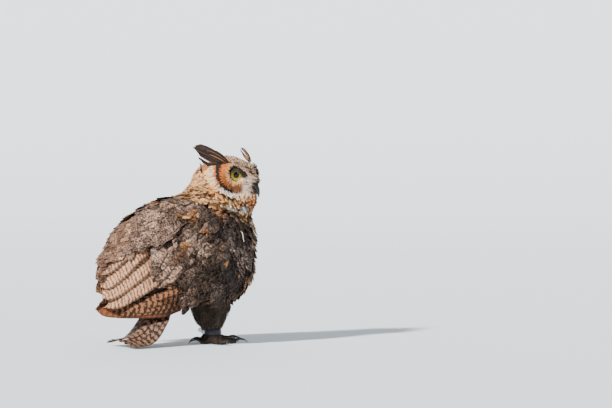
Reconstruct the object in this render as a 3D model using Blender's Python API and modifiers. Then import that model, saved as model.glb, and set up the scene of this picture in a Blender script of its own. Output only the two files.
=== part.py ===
"""A great horned owl at life size, standing on level ground with its head turned to its right.

Metres, +Z up, the body heads along +X and its left side is +Y. The model is drawn about the point
between the feet, and centre_on_floor moves it at the end so that the middle of its box, on the floor,
is the origin. The solids are the outer form of the plumage, out to the tips of the feathers.
"""

import math

import bmesh
import bpy
from mathutils import Matrix, Vector

GAP = 0.0003  # clearance between neighbouring solids
SIDES = (("right", -1), ("left", 1))

# The head, in its own frame: bill along +X, then turned and set on the neck.
HEAD_CENTRE = Vector((0.0425, -0.008, 0.343))
HEAD_TURN = math.radians(-60)
HEAD_NOD = math.radians(4)
HEAD_FRONT, HEAD_BACK, HEAD_SIDE, HEAD_CROWN, HEAD_CHIN = 0.066, 0.070, 0.064, 0.056, 0.060
FACE_YAW = math.radians(33)  # each half of the face looks this far off the bill's line
FACE_DEPTH = 0.0455  # from the head's centre to each half's plane
FACE_BLEND = 0.006  # how softly the planes round into the head
PLANE_REACH = 0.05  # a plane counts only in directions that face it by more than this cosine
CROWN_FLAT, CROWN_SLOPE = 0.0490, math.radians(17)  # the crown's plane, lower towards the brow
SWELLINGS = (  # direction from the head's centre, breadth, rise
    ((1.0, 0.35, 0.35), 0.24, 0.003),  # the brow, on both sides
    ((1.0, -0.35, 0.35), 0.24, 0.003),
    ((-0.75, -0.60, -0.25), 0.60, 0.025),  # the nape's feathers, over the turned neck
    ((1.0, 0.0, 0.05), 0.28, 0.006),  # the mound of bristles over the bill
    ((0.735, 0.0, -0.68), 0.26, 0.010),  # the chin
)

# The neck: a sleeve between two parallel cuts, one on the shoulders and one under the head.
COLLAR_TILT = math.radians(20)
NECK_FOOT, NECK_FOOT_HALF = Vector((-0.001, 0, 0.287)), 0.075
NECK_TOP = Vector((0.028, 0, 0.312))
NECK_SWELL = 0.001  # how far the sleeve stands proud of the head at the upper cut

EYE_RADIUS = 0.0150
EYE_AHEAD, EYE_ASIDE, EYE_ABOVE = 0.0220, 0.0323, 0.0145
EYE_YAW = math.radians(28)

BILL_LENGTH, BILL_WIDTH, BILL_DEPTH = 0.043, 0.0190, 0.023
BILL_ROOT = Vector((0.0400, 0, -0.001))
BILL_START, BILL_CURL, BILL_HOOK = math.radians(-4), math.radians(92), 0.9  # slope, its gain, when
BILL_TAPER, BILL_POINT = 0.75, 0.05
BILL_ABOVE, BILL_BELOW = 0.42, 0.30  # of the depth, over and under the middle line
LOWER_BILL_START, LOWER_BILL_RUN = Vector((0.001, 0, -0.0135)), Vector((0.0185, 0, -0.0075))
LOWER_BILL_WIDTH, LOWER_BILL_TAPER = 0.40, 0.55  # of the upper bill's, and lost by its end
LOWER_BILL_RISE, LOWER_BILL_DROP = 0.0024, 0.0040

TUFT_WIDTH, TUFT_THICK = {"right": 0.0145, "left": 0.0090}, 0.0050  # half sizes
TUFT_BOW = (-0.20, -0.10, 0.12)  # of its length: back, out, up
TUFT_ROOTS = {"right": Vector((0.002, -0.0425, 0.0315)), "left": Vector((0.0215, 0.036, 0.031))}
TUFT_REACH = {"right": (0.055, 0.042, 0.0355), "left": (0.055, 0.020, 0.034)}  # back, out, up

# Side profiles of the trunk and of the folded wings: x, top, bottom, half width.
TRUNK = (
    (0.075, 0.222, 0.180, 0.014),
    (0.070, 0.268, 0.134, 0.048),
    (0.046, 0.292, 0.098, 0.068),
    (0.000, 0.302, 0.080, 0.079),
    (-0.055, 0.303, 0.078, 0.082),
    (-0.105, 0.288, 0.080, 0.077),
    (-0.148, 0.256, 0.090, 0.064),
    (-0.184, 0.206, 0.108, 0.042),
    (-0.206, 0.170, 0.138, 0.016),
)
WING = (
    (0.066, 0.266, 0.138, 0.056),
    (0.037, 0.290, 0.111, 0.076),
    (-0.015, 0.304, 0.092, 0.088),
    (-0.062, 0.307, 0.082, 0.091),
    (-0.108, 0.295, 0.069, 0.090),
    (-0.150, 0.281, 0.060, 0.081),
    (-0.190, 0.252, 0.056, 0.065),
    (-0.224, 0.214, 0.056, 0.046),
    (-0.250, 0.176, 0.058, 0.032),
    (-0.270, 0.140, 0.062, 0.022),
)
WING_TUCK = 0.16  # how far the wing's lower edge turns in under the side
# Across a wing, q runs from the back's middle line (0) to the lower edge (1).
WING_MEETING, SECONDARY_LOW, PRIMARY_HIGH = 0.014, 0.860, 0.867
SECONDARY_SPANS, COVERT_SPANS = 15, 17  # equal steps of q, so that the two share one edge
COVERT_LOW = WING_MEETING + (SECONDARY_LOW - WING_MEETING) * COVERT_SPANS / SECONDARY_SPANS
WING_SEAM = 0.0013  # between coverts and flight feathers
COVERT_END_TOP, COVERT_SHORT = -0.222, 0.135  # where the coverts end on top; how much sooner when low
COVERT_START, COVERT_START_BACK = 0.010, 0.050  # at the edges of the wing; how much further ahead between
SECONDARY_END, SECONDARY_TIPS = {"right": -0.264, "left": -0.252}, 5
PRIMARY_END, PRIMARY_TIPS = {"right": -0.270, "left": -0.258}, 2
TIP_DEPTH = 0.006  # of the scallops between feather tips
COVERT_THICK, SECONDARY_THICK, PRIMARY_THICK = 0.010, 0.006, 0.005
FLIGHT_SINK = 0.0008  # how far the flight feathers lie below the coverts

# The tail springs from the rump, droops and lies out along the floor.
TAIL_ROOT = Vector((-0.104, 0, 0.124))
TAIL_LENGTH = 0.216
TAIL_SWING = math.radians(20)  # swung to the bird's right
TAIL_DROOP = math.radians(60)
TAIL_HALF_ROOT, TAIL_HALF_TIP = 0.026, 0.066
TAIL_THICK = 0.006
TAIL_ROUND, TAIL_TIPS, TAIL_TIP_DEPTH = 0.020, 5, 0.005  # how much shorter its sides are; scallops
TAIL_ARCH = 0.014  # how much its middle stands over its sides at the root
TAIL_STEPS, TAIL_ACROSS = 7, 15  # spans along and across

# Legs and feet, for the right side; the left stands a little further forward.
FEET = {"right": Vector((-0.018, -0.033, 0)), "left": Vector((0.004, 0.033, 0))}
LEG = (  # height, offset back, offset outward, radius
    (0.150, -0.016, 0.012, 0.040),
    (0.112, -0.005, 0.009, 0.043),
    (0.078, -0.004, 0.005, 0.038),
    (0.052, -0.005, 0.002, 0.0295),
    (0.034, -0.004, 0.000, 0.0215),
)
SHANK_RADIUS = 0.0160
SHANK_TOP = 0.0345
SHANK_BACK = 0.001  # how far it stands behind the foot's middle
SHANK = ((SHANK_TOP, 0.97), (0.022, 1.0), (0.012, 0.98), (0.007, 0.80))  # height, of the radius
TOE_RADIUS, TOE_TIP_RADIUS = 0.0084, 0.0066
TOES = {  # degrees outward from ahead, length to the claw
    "inner": (-22, 0.040),
    "middle": (6, 0.046),
    "outer": (78, 0.036),
    "hind": (186, 0.024),
}
TOE_START, TOE_SPLAY, TOE_RINGS = 0.004, 5, 4  # from the foot's middle, degrees, spans
TOE_PADS, TOE_PAD_SWELL, TOE_END = 2.5, 0.10, 0.72  # waves of pads, their swelling, the last ring
FLAT_DEPTH = 0.0008  # how much of a rounded underside the floor cuts away
CLAW_LENGTH, CLAW_RADIUS, CLAW_STEPS = 0.030, 0.0036, 5
OUTER_CLAW = 0.86  # of the others' length
CLAW_START, CLAW_CURL = math.radians(22), math.radians(78)  # its slope at the root, and what it loses
CLAW_BACK, CLAW_RAISED = 0.001, 0.0022  # its root from the middle of the toe's end
CLAW_TAPER, CLAW_POINT, CLAW_CLEARANCE = 0.8, 0.07, 0.0008
ANKLET_Z, ANKLET_HEIGHT, ANKLET_THICK = 0.0262, 0.010, 0.0016
GROMMET_HOLE, GROMMET_RIM, GROMMET_DEPTH = 0.0016, 0.0026, 0.0036

COLOURS = {  # red, green, blue, roughness, metallic
    "plumage_brown": (0.20, 0.14, 0.10, 0.85, 0.0),
    "plumage_buff": (0.50, 0.34, 0.20, 0.85, 0.0),
    "plumage_rufous": (0.42, 0.22, 0.11, 0.85, 0.0),
    "tuft_dark": (0.09, 0.07, 0.06, 0.85, 0.0),
    "eye": (0.72, 0.55, 0.03, 0.15, 0.0),
    "bill": (0.05, 0.05, 0.055, 0.35, 0.0),
    "claw": (0.03, 0.03, 0.033, 0.30, 0.0),
    "leather": (0.05, 0.07, 0.11, 0.55, 0.0),
    "steel": (0.55, 0.55, 0.56, 0.30, 1.0),
}


def clear_scene():
    for obj in list(bpy.data.objects):
        bpy.data.objects.remove(obj, do_unlink=True)


def new_collection(name):
    collection = bpy.data.collections.new(name)
    bpy.context.scene.collection.children.link(collection)
    return collection


def material(name):
    """The named finish, as one Principled material that every piece of it shares."""
    found = bpy.data.materials.get(name)
    if found:
        return found
    made = bpy.data.materials.new(name)
    made.use_nodes = True
    shader = made.node_tree.nodes["Principled BSDF"]
    red, green, blue, roughness, metallic = COLOURS[name]
    shader.inputs["Base Color"].default_value = (red, green, blue, 1)
    shader.inputs["Roughness"].default_value = roughness
    shader.inputs["Metallic"].default_value = metallic
    made.diffuse_color = (red, green, blue, 1)
    return made


def add_object(name, mesh, finish, collection):
    obj = bpy.data.objects.new(name, mesh)
    mesh.materials.append(material(finish))
    collection.objects.link(obj)
    return obj


def settle(obj):
    """Replaces an object's mesh with what its modifiers make of it."""
    graph = bpy.context.evaluated_depsgraph_get()
    mesh = bpy.data.meshes.new_from_object(obj.evaluated_get(graph), depsgraph=graph)
    obj.modifiers.clear()
    obj.data = mesh
    return obj


def place(obj, matrix):
    obj.data.transform(matrix)
    obj.data.update()
    return obj


def through(rows, at, column):
    """The smooth curve of one column of a profile, read at a value of its first column, which falls."""
    last = len(rows) - 1
    at = max(min(at, rows[0][0]), rows[last][0])
    i = next(k for k in range(last) if at >= rows[k + 1][0])
    slopes = []
    for k in (i, i + 1):
        low, high = rows[min(k + 1, last)], rows[max(k - 1, 0)]
        slopes.append((high[column] - low[column]) / (high[0] - low[0]))
    x0, x1, span = rows[i][0], rows[i + 1][0], rows[i + 1][0] - rows[i][0]
    t = (at - x0) / (x1 - x0)
    y0, y1 = rows[i][column], rows[i + 1][column]
    return (
        (2 * t**3 - 3 * t**2 + 1) * y0
        + (t**3 - 2 * t**2 + t) * span * slopes[0]
        + (3 * t**2 - 2 * t**3) * y1
        + (t**3 - t**2) * span * slopes[1]
    )


def power(value, exponent):
    return math.copysign(abs(value) ** exponent, value)


def ring(centre, side, up, half_width, rise, drop, count, square=1.0):
    """A closed ring of points: half_width to the sides, rise above the centre and drop below it."""
    points = []
    for i in range(count):
        angle = 2 * math.pi * i / count
        high = power(math.cos(angle), square)
        wide = power(math.sin(angle), square)
        points.append(centre + side * half_width * wide + up * (rise if high > 0 else drop) * high)
    return points


def loft(name, rings, finish, collection):
    """A closed mesh through rings of equal count, its ends closed on their middles."""
    bm = bmesh.new()
    rows = [[bm.verts.new(point) for point in points] for points in rings]
    count = len(rows[0])
    for row, after in zip(rows, rows[1:]):
        for i in range(count):
            j = (i + 1) % count
            bm.faces.new((row[i], row[j], after[j], after[i]))
    for row, flip in ((rows[0], True), (rows[-1], False)):
        middle = bm.verts.new(sum((v.co for v in row), Vector()) / count)
        for i in range(count):
            j = (i + 1) % count
            bm.faces.new((row[j], row[i], middle) if flip else (row[i], row[j], middle))
    bmesh.ops.recalc_face_normals(bm, faces=bm.faces)
    mesh = bpy.data.meshes.new(name)
    bm.to_mesh(mesh)
    bm.free()
    mesh.shade_smooth()
    return add_object(name, mesh, finish, collection)


def limb(name, path, radii, finish, collection, count):
    """A tube along a path, with a radius at each point."""
    rings = []
    side = Vector((0, 1, 0))
    for i, point in enumerate(path):
        ahead = (path[min(i + 1, len(path) - 1)] - path[max(i - 1, 0)]).normalized()
        side = (side - ahead * side.dot(ahead)).normalized()
        up = ahead.cross(side)
        rings.append(ring(point, side, up, radii[i], radii[i], radii[i], count))
    return loft(name, rings, finish, collection)


def sheet(name, columns, thick, finish, collection, offset):
    """An open surface through a grid of points, given its thickness by Solidify."""
    bm = bmesh.new()
    grid = [[bm.verts.new(point) for point in column] for column in columns]
    for left, right in zip(grid, grid[1:]):
        for i in range(len(left) - 1):
            bm.faces.new((left[i], left[i + 1], right[i + 1], right[i]))
    mesh = bpy.data.meshes.new(name)
    bm.to_mesh(mesh)
    bm.free()
    mesh.shade_smooth()
    obj = add_object(name, mesh, finish, collection)
    solid = obj.modifiers.new("thickness", "SOLIDIFY")
    solid.thickness = thick
    solid.offset = offset
    return settle(obj)


def swollen(obj, cutters, by=2 * GAP):
    """A cutter: the same triangles, a little larger all round."""
    bm = bmesh.new()
    bm.from_mesh(obj.data)
    bmesh.ops.triangulate(bm, faces=bm.faces)
    bm.to_mesh(obj.data)
    bm.free()
    cutter = bpy.data.objects.new("cutter_" + obj.name, obj.data.copy())
    cutters.objects.link(cutter)
    cutter.hide_render = True
    cutter.display_type = "WIRE"
    push = cutter.modifiers.new("clearance", "DISPLACE")
    push.strength = by
    push.mid_level = 0
    return settle(cutter)


def boolean(obj, other, operation="DIFFERENCE"):
    change = obj.modifiers.new(operation.lower(), "BOOLEAN")
    change.operation = operation
    change.object = other
    return settle(obj)


def carve(obj, neighbours, cutters):
    for neighbour in neighbours:
        boolean(obj, swollen(neighbour, cutters))
    return obj


def block(name, low, high, cutters, turn=Matrix.Identity(4)):
    """A box between two corners, as a cutter."""
    bm = bmesh.new()
    bmesh.ops.create_cube(bm, size=1)
    size = Vector(high) - Vector(low)
    middle = (Vector(high) + Vector(low)) / 2
    bm.transform(turn @ Matrix.Translation(middle) @ Matrix.Diagonal((*size, 1)))
    mesh = bpy.data.meshes.new(name)
    bm.to_mesh(mesh)
    bm.free()
    obj = bpy.data.objects.new(name, mesh)
    cutters.objects.link(obj)
    obj.hide_render = True
    obj.display_type = "WIRE"
    return obj


def keep_one_body(obj):
    """Drops the loose crumbs that a cut leaves, keeping the largest piece."""
    bm = bmesh.new()
    bm.from_mesh(obj.data)
    bmesh.ops.remove_doubles(bm, verts=bm.verts, dist=1e-5)
    left = set(bm.verts)
    islands = []
    while left:
        stack = [left.pop()]
        island = list(stack)
        while stack:
            for edge in stack.pop().link_edges:
                for vert in edge.verts:
                    if vert in left:
                        left.remove(vert)
                        stack.append(vert)
                        island.append(vert)
        islands.append(island)
    islands.sort(key=len)
    for island in islands[:-1]:
        bmesh.ops.delete(bm, geom=island, context="VERTS")
    bm.to_mesh(obj.data)
    bm.free()
    return obj


def head_frame():
    turn = Matrix.Rotation(HEAD_TURN, 4, "Z") @ Matrix.Rotation(HEAD_NOD, 4, "Y")
    return Matrix.Translation(HEAD_CENTRE) @ turn


def soft_least(a, b, blend):
    """The smaller of two lengths, rounded where they meet."""
    mix = max(0.0, min(1.0, 0.5 + 0.5 * (b - a) / blend))
    return b * (1 - mix) + a * mix - blend * mix * (1 - mix)


def head_reach(way):
    """How far the head's surface lies from its centre in a direction: an egg with two flat face halves."""
    front = HEAD_FRONT if way.x > 0 else HEAD_BACK
    tall = HEAD_CROWN if way.z > 0 else HEAD_CHIN
    reach = 1 / math.sqrt((way.x / front) ** 2 + (way.y / HEAD_SIDE) ** 2 + (way.z / tall) ** 2)
    rising = math.cos(CROWN_SLOPE) * way.z + math.sin(CROWN_SLOPE) * way.x
    if rising > PLANE_REACH:
        reach = soft_least(reach, CROWN_FLAT / rising, FACE_BLEND)
    facing = math.cos(FACE_YAW) * way.x + math.sin(FACE_YAW) * abs(way.y)
    if facing > PLANE_REACH:
        reach = soft_least(reach, FACE_DEPTH / facing, FACE_BLEND)
    for towards, breadth, rise in SWELLINGS:
        reach += rise * math.exp(-((way - Vector(towards).normalized()).length / breadth) ** 2)
    return reach


def make_head(collection):
    bm = bmesh.new()
    bmesh.ops.create_icosphere(bm, subdivisions=4, radius=1)
    for vert in bm.verts:
        way = vert.co.normalized()
        vert.co = way * head_reach(way)
    mesh = bpy.data.meshes.new("head")
    bm.to_mesh(mesh)
    bm.free()
    mesh.shade_smooth()
    return place(add_object("head", mesh, "plumage_buff", collection), head_frame())


def make_eye(side, sign, collection):
    bm = bmesh.new()
    bmesh.ops.create_uvsphere(bm, u_segments=12, v_segments=8, radius=EYE_RADIUS)
    mesh = bpy.data.meshes.new(side + "_eye")
    bm.to_mesh(mesh)
    bm.free()
    mesh.shade_smooth()
    obj = add_object(side + "_eye", mesh, "eye", collection)
    where = Matrix.Translation((EYE_AHEAD, sign * EYE_ASIDE, EYE_ABOVE))
    gaze = Matrix.Rotation(sign * EYE_YAW, 4, "Z") @ Matrix.Rotation(math.pi / 2, 4, "Y")
    return place(obj, head_frame() @ where @ gaze)


def make_bill(collection):
    """The hooked upper half of the bill, narrow at the ridge and deepest at its root."""
    rings, steps = [], 8
    for i in range(steps):
        t = i / (steps - 1)
        bend = BILL_START + BILL_CURL * t**BILL_HOOK
        if i:
            stride = BILL_LENGTH / (steps - 1)
            centre = centre + Vector((math.cos(bend), 0, -math.sin(bend))) * stride
        else:
            centre = BILL_ROOT.copy()
        up = Vector((math.sin(bend), 0, math.cos(bend)))
        taper = (1 - t) ** BILL_TAPER + BILL_POINT
        rings.append(
            ring(centre, Vector((0, 1, 0)), up, BILL_WIDTH / 2 * taper,
                 BILL_DEPTH * BILL_ABOVE * taper, BILL_DEPTH * BILL_BELOW * taper, 10, 0.9)
        )
    return place(loft("upper_bill", rings, "bill", collection), head_frame())


def make_lower_bill(collection):
    rings, steps = [], 5
    for i in range(steps):
        t = i / (steps - 1)
        centre = BILL_ROOT + LOWER_BILL_START + LOWER_BILL_RUN * t
        taper = 1 - LOWER_BILL_TAPER * t
        rings.append(
            ring(centre, Vector((0, 1, 0)), Vector((0, 0, 1)), BILL_WIDTH * LOWER_BILL_WIDTH * taper,
                 LOWER_BILL_RISE * taper, LOWER_BILL_DROP * taper, 10)
        )
    return place(loft("lower_bill", rings, "bill", collection), head_frame())


def make_tuft(side, sign, collection):
    """A feather horn: a flattened blade from the brow, tapering to its tip."""
    root = TUFT_ROOTS[side]
    back, out, rise = TUFT_REACH[side]
    tip = root + Vector((-back, sign * out, rise))
    bow = Vector((TUFT_BOW[0], sign * TUFT_BOW[1], TUFT_BOW[2])) * (tip - root).length
    rings, steps = [], 7
    ahead = (tip - root).normalized()
    across = ahead.cross(Vector((0.35, sign, 0))).normalized()
    thin = ahead.cross(across)
    for i in range(steps):
        t = i / (steps - 1)
        centre = root.lerp(tip, t) + bow * t * (1 - t)
        width = TUFT_WIDTH[side] * (0.62 + 1.5 * t - 1.1 * t * t) * min(1, 3.2 * (1.02 - t)) ** 0.6
        thick = TUFT_THICK * (1 - 0.75 * t)
        rings.append(ring(centre, across, thin, width, thick, thick, 8))
    return place(loft(side + "_ear_tuft", rings, "tuft_dark", collection), head_frame())


def profile_rings(rows, steps, count, square):
    """Upright rings along a side profile, closer together at its ends."""
    rings = []
    for i in range(steps):
        t = (1 - math.cos(math.pi * i / (steps - 1))) / 2
        x = rows[0][0] + (rows[-1][0] - rows[0][0]) * t
        top, bottom, half = (through(rows, x, column) for column in (1, 2, 3))
        middle = bottom + (top - bottom) * 0.48
        centre = Vector((x, 0, middle))
        rings.append(
            ring(centre, Vector((0, 1, 0)), Vector((0, 0, 1)), half, top - middle, middle - bottom, count, square)
        )
    return rings


def collar_plane(at):
    """A tilted frame whose floor is the cut across the neck at one end of it, higher at the nape."""
    return Matrix.Translation(at) @ Matrix.Rotation(COLLAR_TILT, 4, "Y")


def head_section(plane, angle):
    """The point of the head's surface on the upper cut, at an angle round the head's own axis."""
    middle = plane.inverted() @ HEAD_CENTRE
    to_head = head_frame().to_3x3().inverted() @ plane.to_3x3()
    radius = HEAD_SIDE
    for _ in range(8):
        offset = Vector((radius * math.cos(angle), radius * math.sin(angle), -middle.z))
        reach = head_reach((to_head @ offset).normalized())
        radius = math.sqrt(max(reach**2 - middle.z**2, 1e-6))
    radius += NECK_SWELL
    return plane @ Vector((middle.x + radius * math.cos(angle), middle.y + radius * math.sin(angle), 0))


def make_neck(collection):
    """The thick sleeve of feathers that flares from under the head to the shoulders."""
    foot, top = collar_plane(NECK_FOOT), collar_plane(NECK_TOP)
    count, spans = 22, 3
    rings = []
    for i in range(spans + 1):
        t = i / spans
        points = []
        for j in range(count):
            angle = 2 * math.pi * j / count
            low = foot @ (Vector((math.cos(angle), math.sin(angle), 0)) * NECK_FOOT_HALF)
            points.append(low.lerp(head_section(top, angle), t))
        rings.append(points)
    return loft("neck", rings, "plumage_buff", collection)


def wing_point(x, q, sign, sink=0.0):
    """A point of the folded wings' outer surface: x along the body, q from the back's middle line (0)
    over the side to the lower edge (1), sink inwards."""
    top, low, half = (through(WING, x, column) for column in (1, 2, 3))
    angle = math.pi / 2 * q
    across = power(math.sin(angle), 0.86) * (1 - WING_TUCK * q**5)
    height = power(math.cos(angle), 0.92)
    return Vector((x, sign * (half - sink) * across, low + (top - sink - low) * height))


def wing_sheet(name, *, sign, start, end, q_range, along, across, sink, thick, finish, collection):
    """Part of a folded wing between start(q) and end(q) along the body, over a range of q across it."""
    low, high = q_range
    columns = []
    for i in range(along + 1):
        column = []
        for j in range(across + 1):
            q = low + (high - low) * j / across
            x = start(q) + (end(q) - start(q)) * i / along
            column.append(wing_point(x, q, sign, sink))
        columns.append(column if sign < 0 else column[::-1])
    return sheet(name, columns, thick, finish, collection, offset=-1.0)


def scallops(v, feathers, depth):
    """How far a row of rounded feather tips falls short of its longest, at v across the row."""
    place_in_feather = 2 * ((v * feathers) % 1.0) - 1
    return depth * (1 - math.sqrt(max(0.0, 1 - place_in_feather**2)))


def ramp(value, start, end):
    """0 before start, 1 after end, smooth between."""
    t = max(0.0, min(1.0, (value - start) / (end - start)))
    return t * t * (3 - 2 * t)


def covert_edge(q):
    """Where the coverts give way to the flight feathers: far back on top, well forward low on the side."""
    return COVERT_END_TOP + COVERT_SHORT * ramp(q, 0.40, 0.86)


def make_wing(side, sign, collection):
    """Coverts, secondaries and primaries of one folded wing, edge to edge on one surface."""
    common = {"sign": sign, "collection": collection}
    coverts = wing_sheet(
        side + "_wing",
        start=lambda q: COVERT_START + COVERT_START_BACK * math.sin(math.pi * min(1, max(0, q - 0.05) * 0.95)),
        end=covert_edge, q_range=(WING_MEETING, COVERT_LOW),
        along=8, across=COVERT_SPANS, sink=0.0, thick=COVERT_THICK, finish="plumage_brown", **common,
    )
    secondaries = wing_sheet(
        side + "_secondaries",
        start=lambda q: covert_edge(q) - WING_SEAM,
        end=lambda q: SECONDARY_END[side] + scallops(q / SECONDARY_LOW, SECONDARY_TIPS, TIP_DEPTH),
        q_range=(WING_MEETING, SECONDARY_LOW),
        along=4, across=SECONDARY_SPANS, sink=FLIGHT_SINK, thick=SECONDARY_THICK, finish="plumage_buff", **common,
    )
    primaries = wing_sheet(
        side + "_primaries",
        start=lambda q: covert_edge(q) - WING_SEAM,
        end=lambda q: PRIMARY_END[side]
        + scallops((q - PRIMARY_HIGH) / (1 - PRIMARY_HIGH), PRIMARY_TIPS, TIP_DEPTH),
        q_range=(PRIMARY_HIGH, 1.0),
        along=8, across=6, sink=FLIGHT_SINK, thick=PRIMARY_THICK, finish="plumage_rufous", **common,
    )
    return coverts, secondaries, primaries


def make_tail(collection):
    """The fan of tail feathers, down a steep path that bends to lie flat on the floor."""
    centre = Vector()
    path = [(centre.copy(), TAIL_DROOP)]
    for i in range(TAIL_STEPS):
        droop = TAIL_DROOP * (1 - ramp((i + 0.5) / TAIL_STEPS, 0.55, 0.92))
        centre = centre + Vector((-math.cos(droop), 0, -math.sin(droop))) * TAIL_LENGTH / TAIL_STEPS
        path.append((centre.copy(), droop))
    sink = TAIL_ROOT.z + path[-1][0].z + FLAT_DEPTH  # what is left to reach the floor
    columns = []
    for i, (centre, droop) in enumerate(path):
        t = i / TAIL_STEPS
        half = TAIL_HALF_ROOT + (TAIL_HALF_TIP - TAIL_HALF_ROOT) * math.sin(math.pi / 2 * t)
        up = Vector((-math.sin(droop), 0, math.cos(droop)))
        column = []
        for j in range(TAIL_ACROSS + 1):
            v = 2 * j / TAIL_ACROSS - 1
            short = (TAIL_ROUND * abs(v) ** 2.4 + scallops((v + 1) / 2, TAIL_TIPS, TAIL_TIP_DEPTH)) * t**6
            arch = TAIL_ARCH * (1 - v * v) * (1 - t)
            column.append(centre + Vector((short, v * half, -sink * t**0.5)) + up * arch)
        columns.append(column)
    tail = sheet("tail", columns, TAIL_THICK, "plumage_buff", collection, offset=1.0)
    return place(tail, Matrix.Translation(TAIL_ROOT) @ Matrix.Rotation(TAIL_SWING, 4, "Z"))


def leg_path(side, sign):
    foot = FEET[side]
    path = [foot + Vector((back, sign * out, height)) for height, back, out, _ in LEG]
    return path, [radius for *_, radius in LEG]


def make_leg(side, sign, collection):
    path, radii = leg_path(side, sign)
    return limb(side + "_leg", path, radii, "plumage_buff", collection, count=16)


def toe_path(side, sign, toe):
    """Points along a toe and its radius at each; it bulges at the pads and lies flat on the floor."""
    degrees, length = TOES[toe]
    angle = sign * math.radians(degrees + TOE_SPLAY)
    ahead = Vector((math.cos(angle), math.sin(angle), 0))
    points, radii = [], []
    for i in range(TOE_RINGS + 1):
        t = i / TOE_RINGS
        pad = 1 + TOE_PAD_SWELL * math.sin(2 * math.pi * TOE_PADS * t)
        radius = (TOE_RADIUS + (TOE_TIP_RADIUS - TOE_RADIUS) * t) * pad
        points.append(FEET[side] + ahead * (TOE_START + length * t) + Vector((0, 0, radius - FLAT_DEPTH)))
        radii.append(radius)
    radii[-1] *= TOE_END
    return points, radii, ahead


def make_foot(side, sign, cutters, collection):
    """Shank and four toes in one piece, with flats where they meet the floor."""
    base = FEET[side]
    path = [base + Vector((-SHANK_BACK, 0, height)) for height, _ in SHANK]
    radii = [SHANK_RADIUS * share for _, share in SHANK]
    foot = limb(side + "_foot", path, radii, "plumage_buff", collection, count=10)
    for toe in TOES:
        points, radii, _ = toe_path(side, sign, toe)
        part = limb("toe", points, radii, "plumage_buff", cutters, count=8)
        part.hide_render = True
        boolean(foot, part, "UNION")
    floor = block("floor_" + side, (-0.2, -0.2, -0.1), (0.2, 0.2, 0.0), cutters)
    return boolean(foot, floor)


def make_claw(side, sign, toe, collection):
    """A curved talon from the end of a toe down to just clear of the floor."""
    toe_points, _, ahead = toe_path(side, sign, toe)
    stride = CLAW_LENGTH * (OUTER_CLAW if toe == "outer" else 1.0) / CLAW_STEPS
    points, radii = [], []
    centre = toe_points[-1] - ahead * CLAW_BACK + Vector((0, 0, CLAW_RAISED))
    for i in range(CLAW_STEPS + 1):
        t = i / CLAW_STEPS
        points.append(centre.copy())
        radii.append(CLAW_RADIUS * ((1 - t) ** CLAW_TAPER + CLAW_POINT))
        slope = CLAW_START - CLAW_CURL * t
        centre = centre + (ahead * math.cos(slope) + Vector((0, 0, math.sin(slope)))) * stride
    drop = points[-1].z - radii[-1] - CLAW_CLEARANCE
    points = [p - Vector((0, 0, drop * (i / CLAW_STEPS) ** 2)) for i, p in enumerate(points)]
    return limb(side + "_" + toe + "_claw", points, radii, "claw", collection, count=5)


def make_anklet(side, collection):
    """A leather cuff round the shank: an open band, thickened outwards."""
    bm = bmesh.new()
    bmesh.ops.create_cone(
        bm, cap_ends=False, segments=18, depth=ANKLET_HEIGHT,
        radius1=SHANK_RADIUS + 2 * GAP, radius2=SHANK_RADIUS + 2 * GAP,
    )
    bm.transform(Matrix.Translation(FEET[side] + Vector((-SHANK_BACK, 0, ANKLET_Z))))
    mesh = bpy.data.meshes.new(side + "_anklet")
    bm.to_mesh(mesh)
    bm.free()
    obj = add_object(side + "_anklet", mesh, "leather", collection)
    wall = obj.modifiers.new("leather", "SOLIDIFY")
    wall.thickness = ANKLET_THICK
    wall.offset = 1.0
    return settle(obj)


def make_grommet(side, collection):
    """The metal eyelet that closes the cuff, a ring standing on its back."""
    bm = bmesh.new()
    bmesh.ops.create_cone(
        bm, cap_ends=False, segments=10, depth=GROMMET_DEPTH, radius1=GROMMET_HOLE, radius2=GROMMET_HOLE
    )
    reach = SHANK_RADIUS + ANKLET_THICK + 4 * GAP + GROMMET_HOLE + GROMMET_RIM
    where = FEET[side] + Vector((-SHANK_BACK - reach, 0, ANKLET_Z))
    bm.transform(Matrix.Translation(where) @ Matrix.Rotation(math.pi / 2, 4, "X"))
    mesh = bpy.data.meshes.new(side + "_grommet")
    bm.to_mesh(mesh)
    bm.free()
    obj = add_object(side + "_grommet", mesh, "steel", collection)
    wall = obj.modifiers.new("rim", "SOLIDIFY")
    wall.thickness = GROMMET_RIM
    wall.offset = 1.0
    return settle(obj)


def centre_on_floor(nodes):
    """Moves all the nodes so that the middle of their box, on the floor, is the origin."""
    corners = [v.co for obj in nodes for v in obj.data.vertices]
    middle = [(min(c[i] for c in corners) + max(c[i] for c in corners)) / 2 for i in (0, 1)]
    shift = Matrix.Translation((-middle[0], -middle[1], 0))
    for obj in nodes:
        place(obj, shift)


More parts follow.
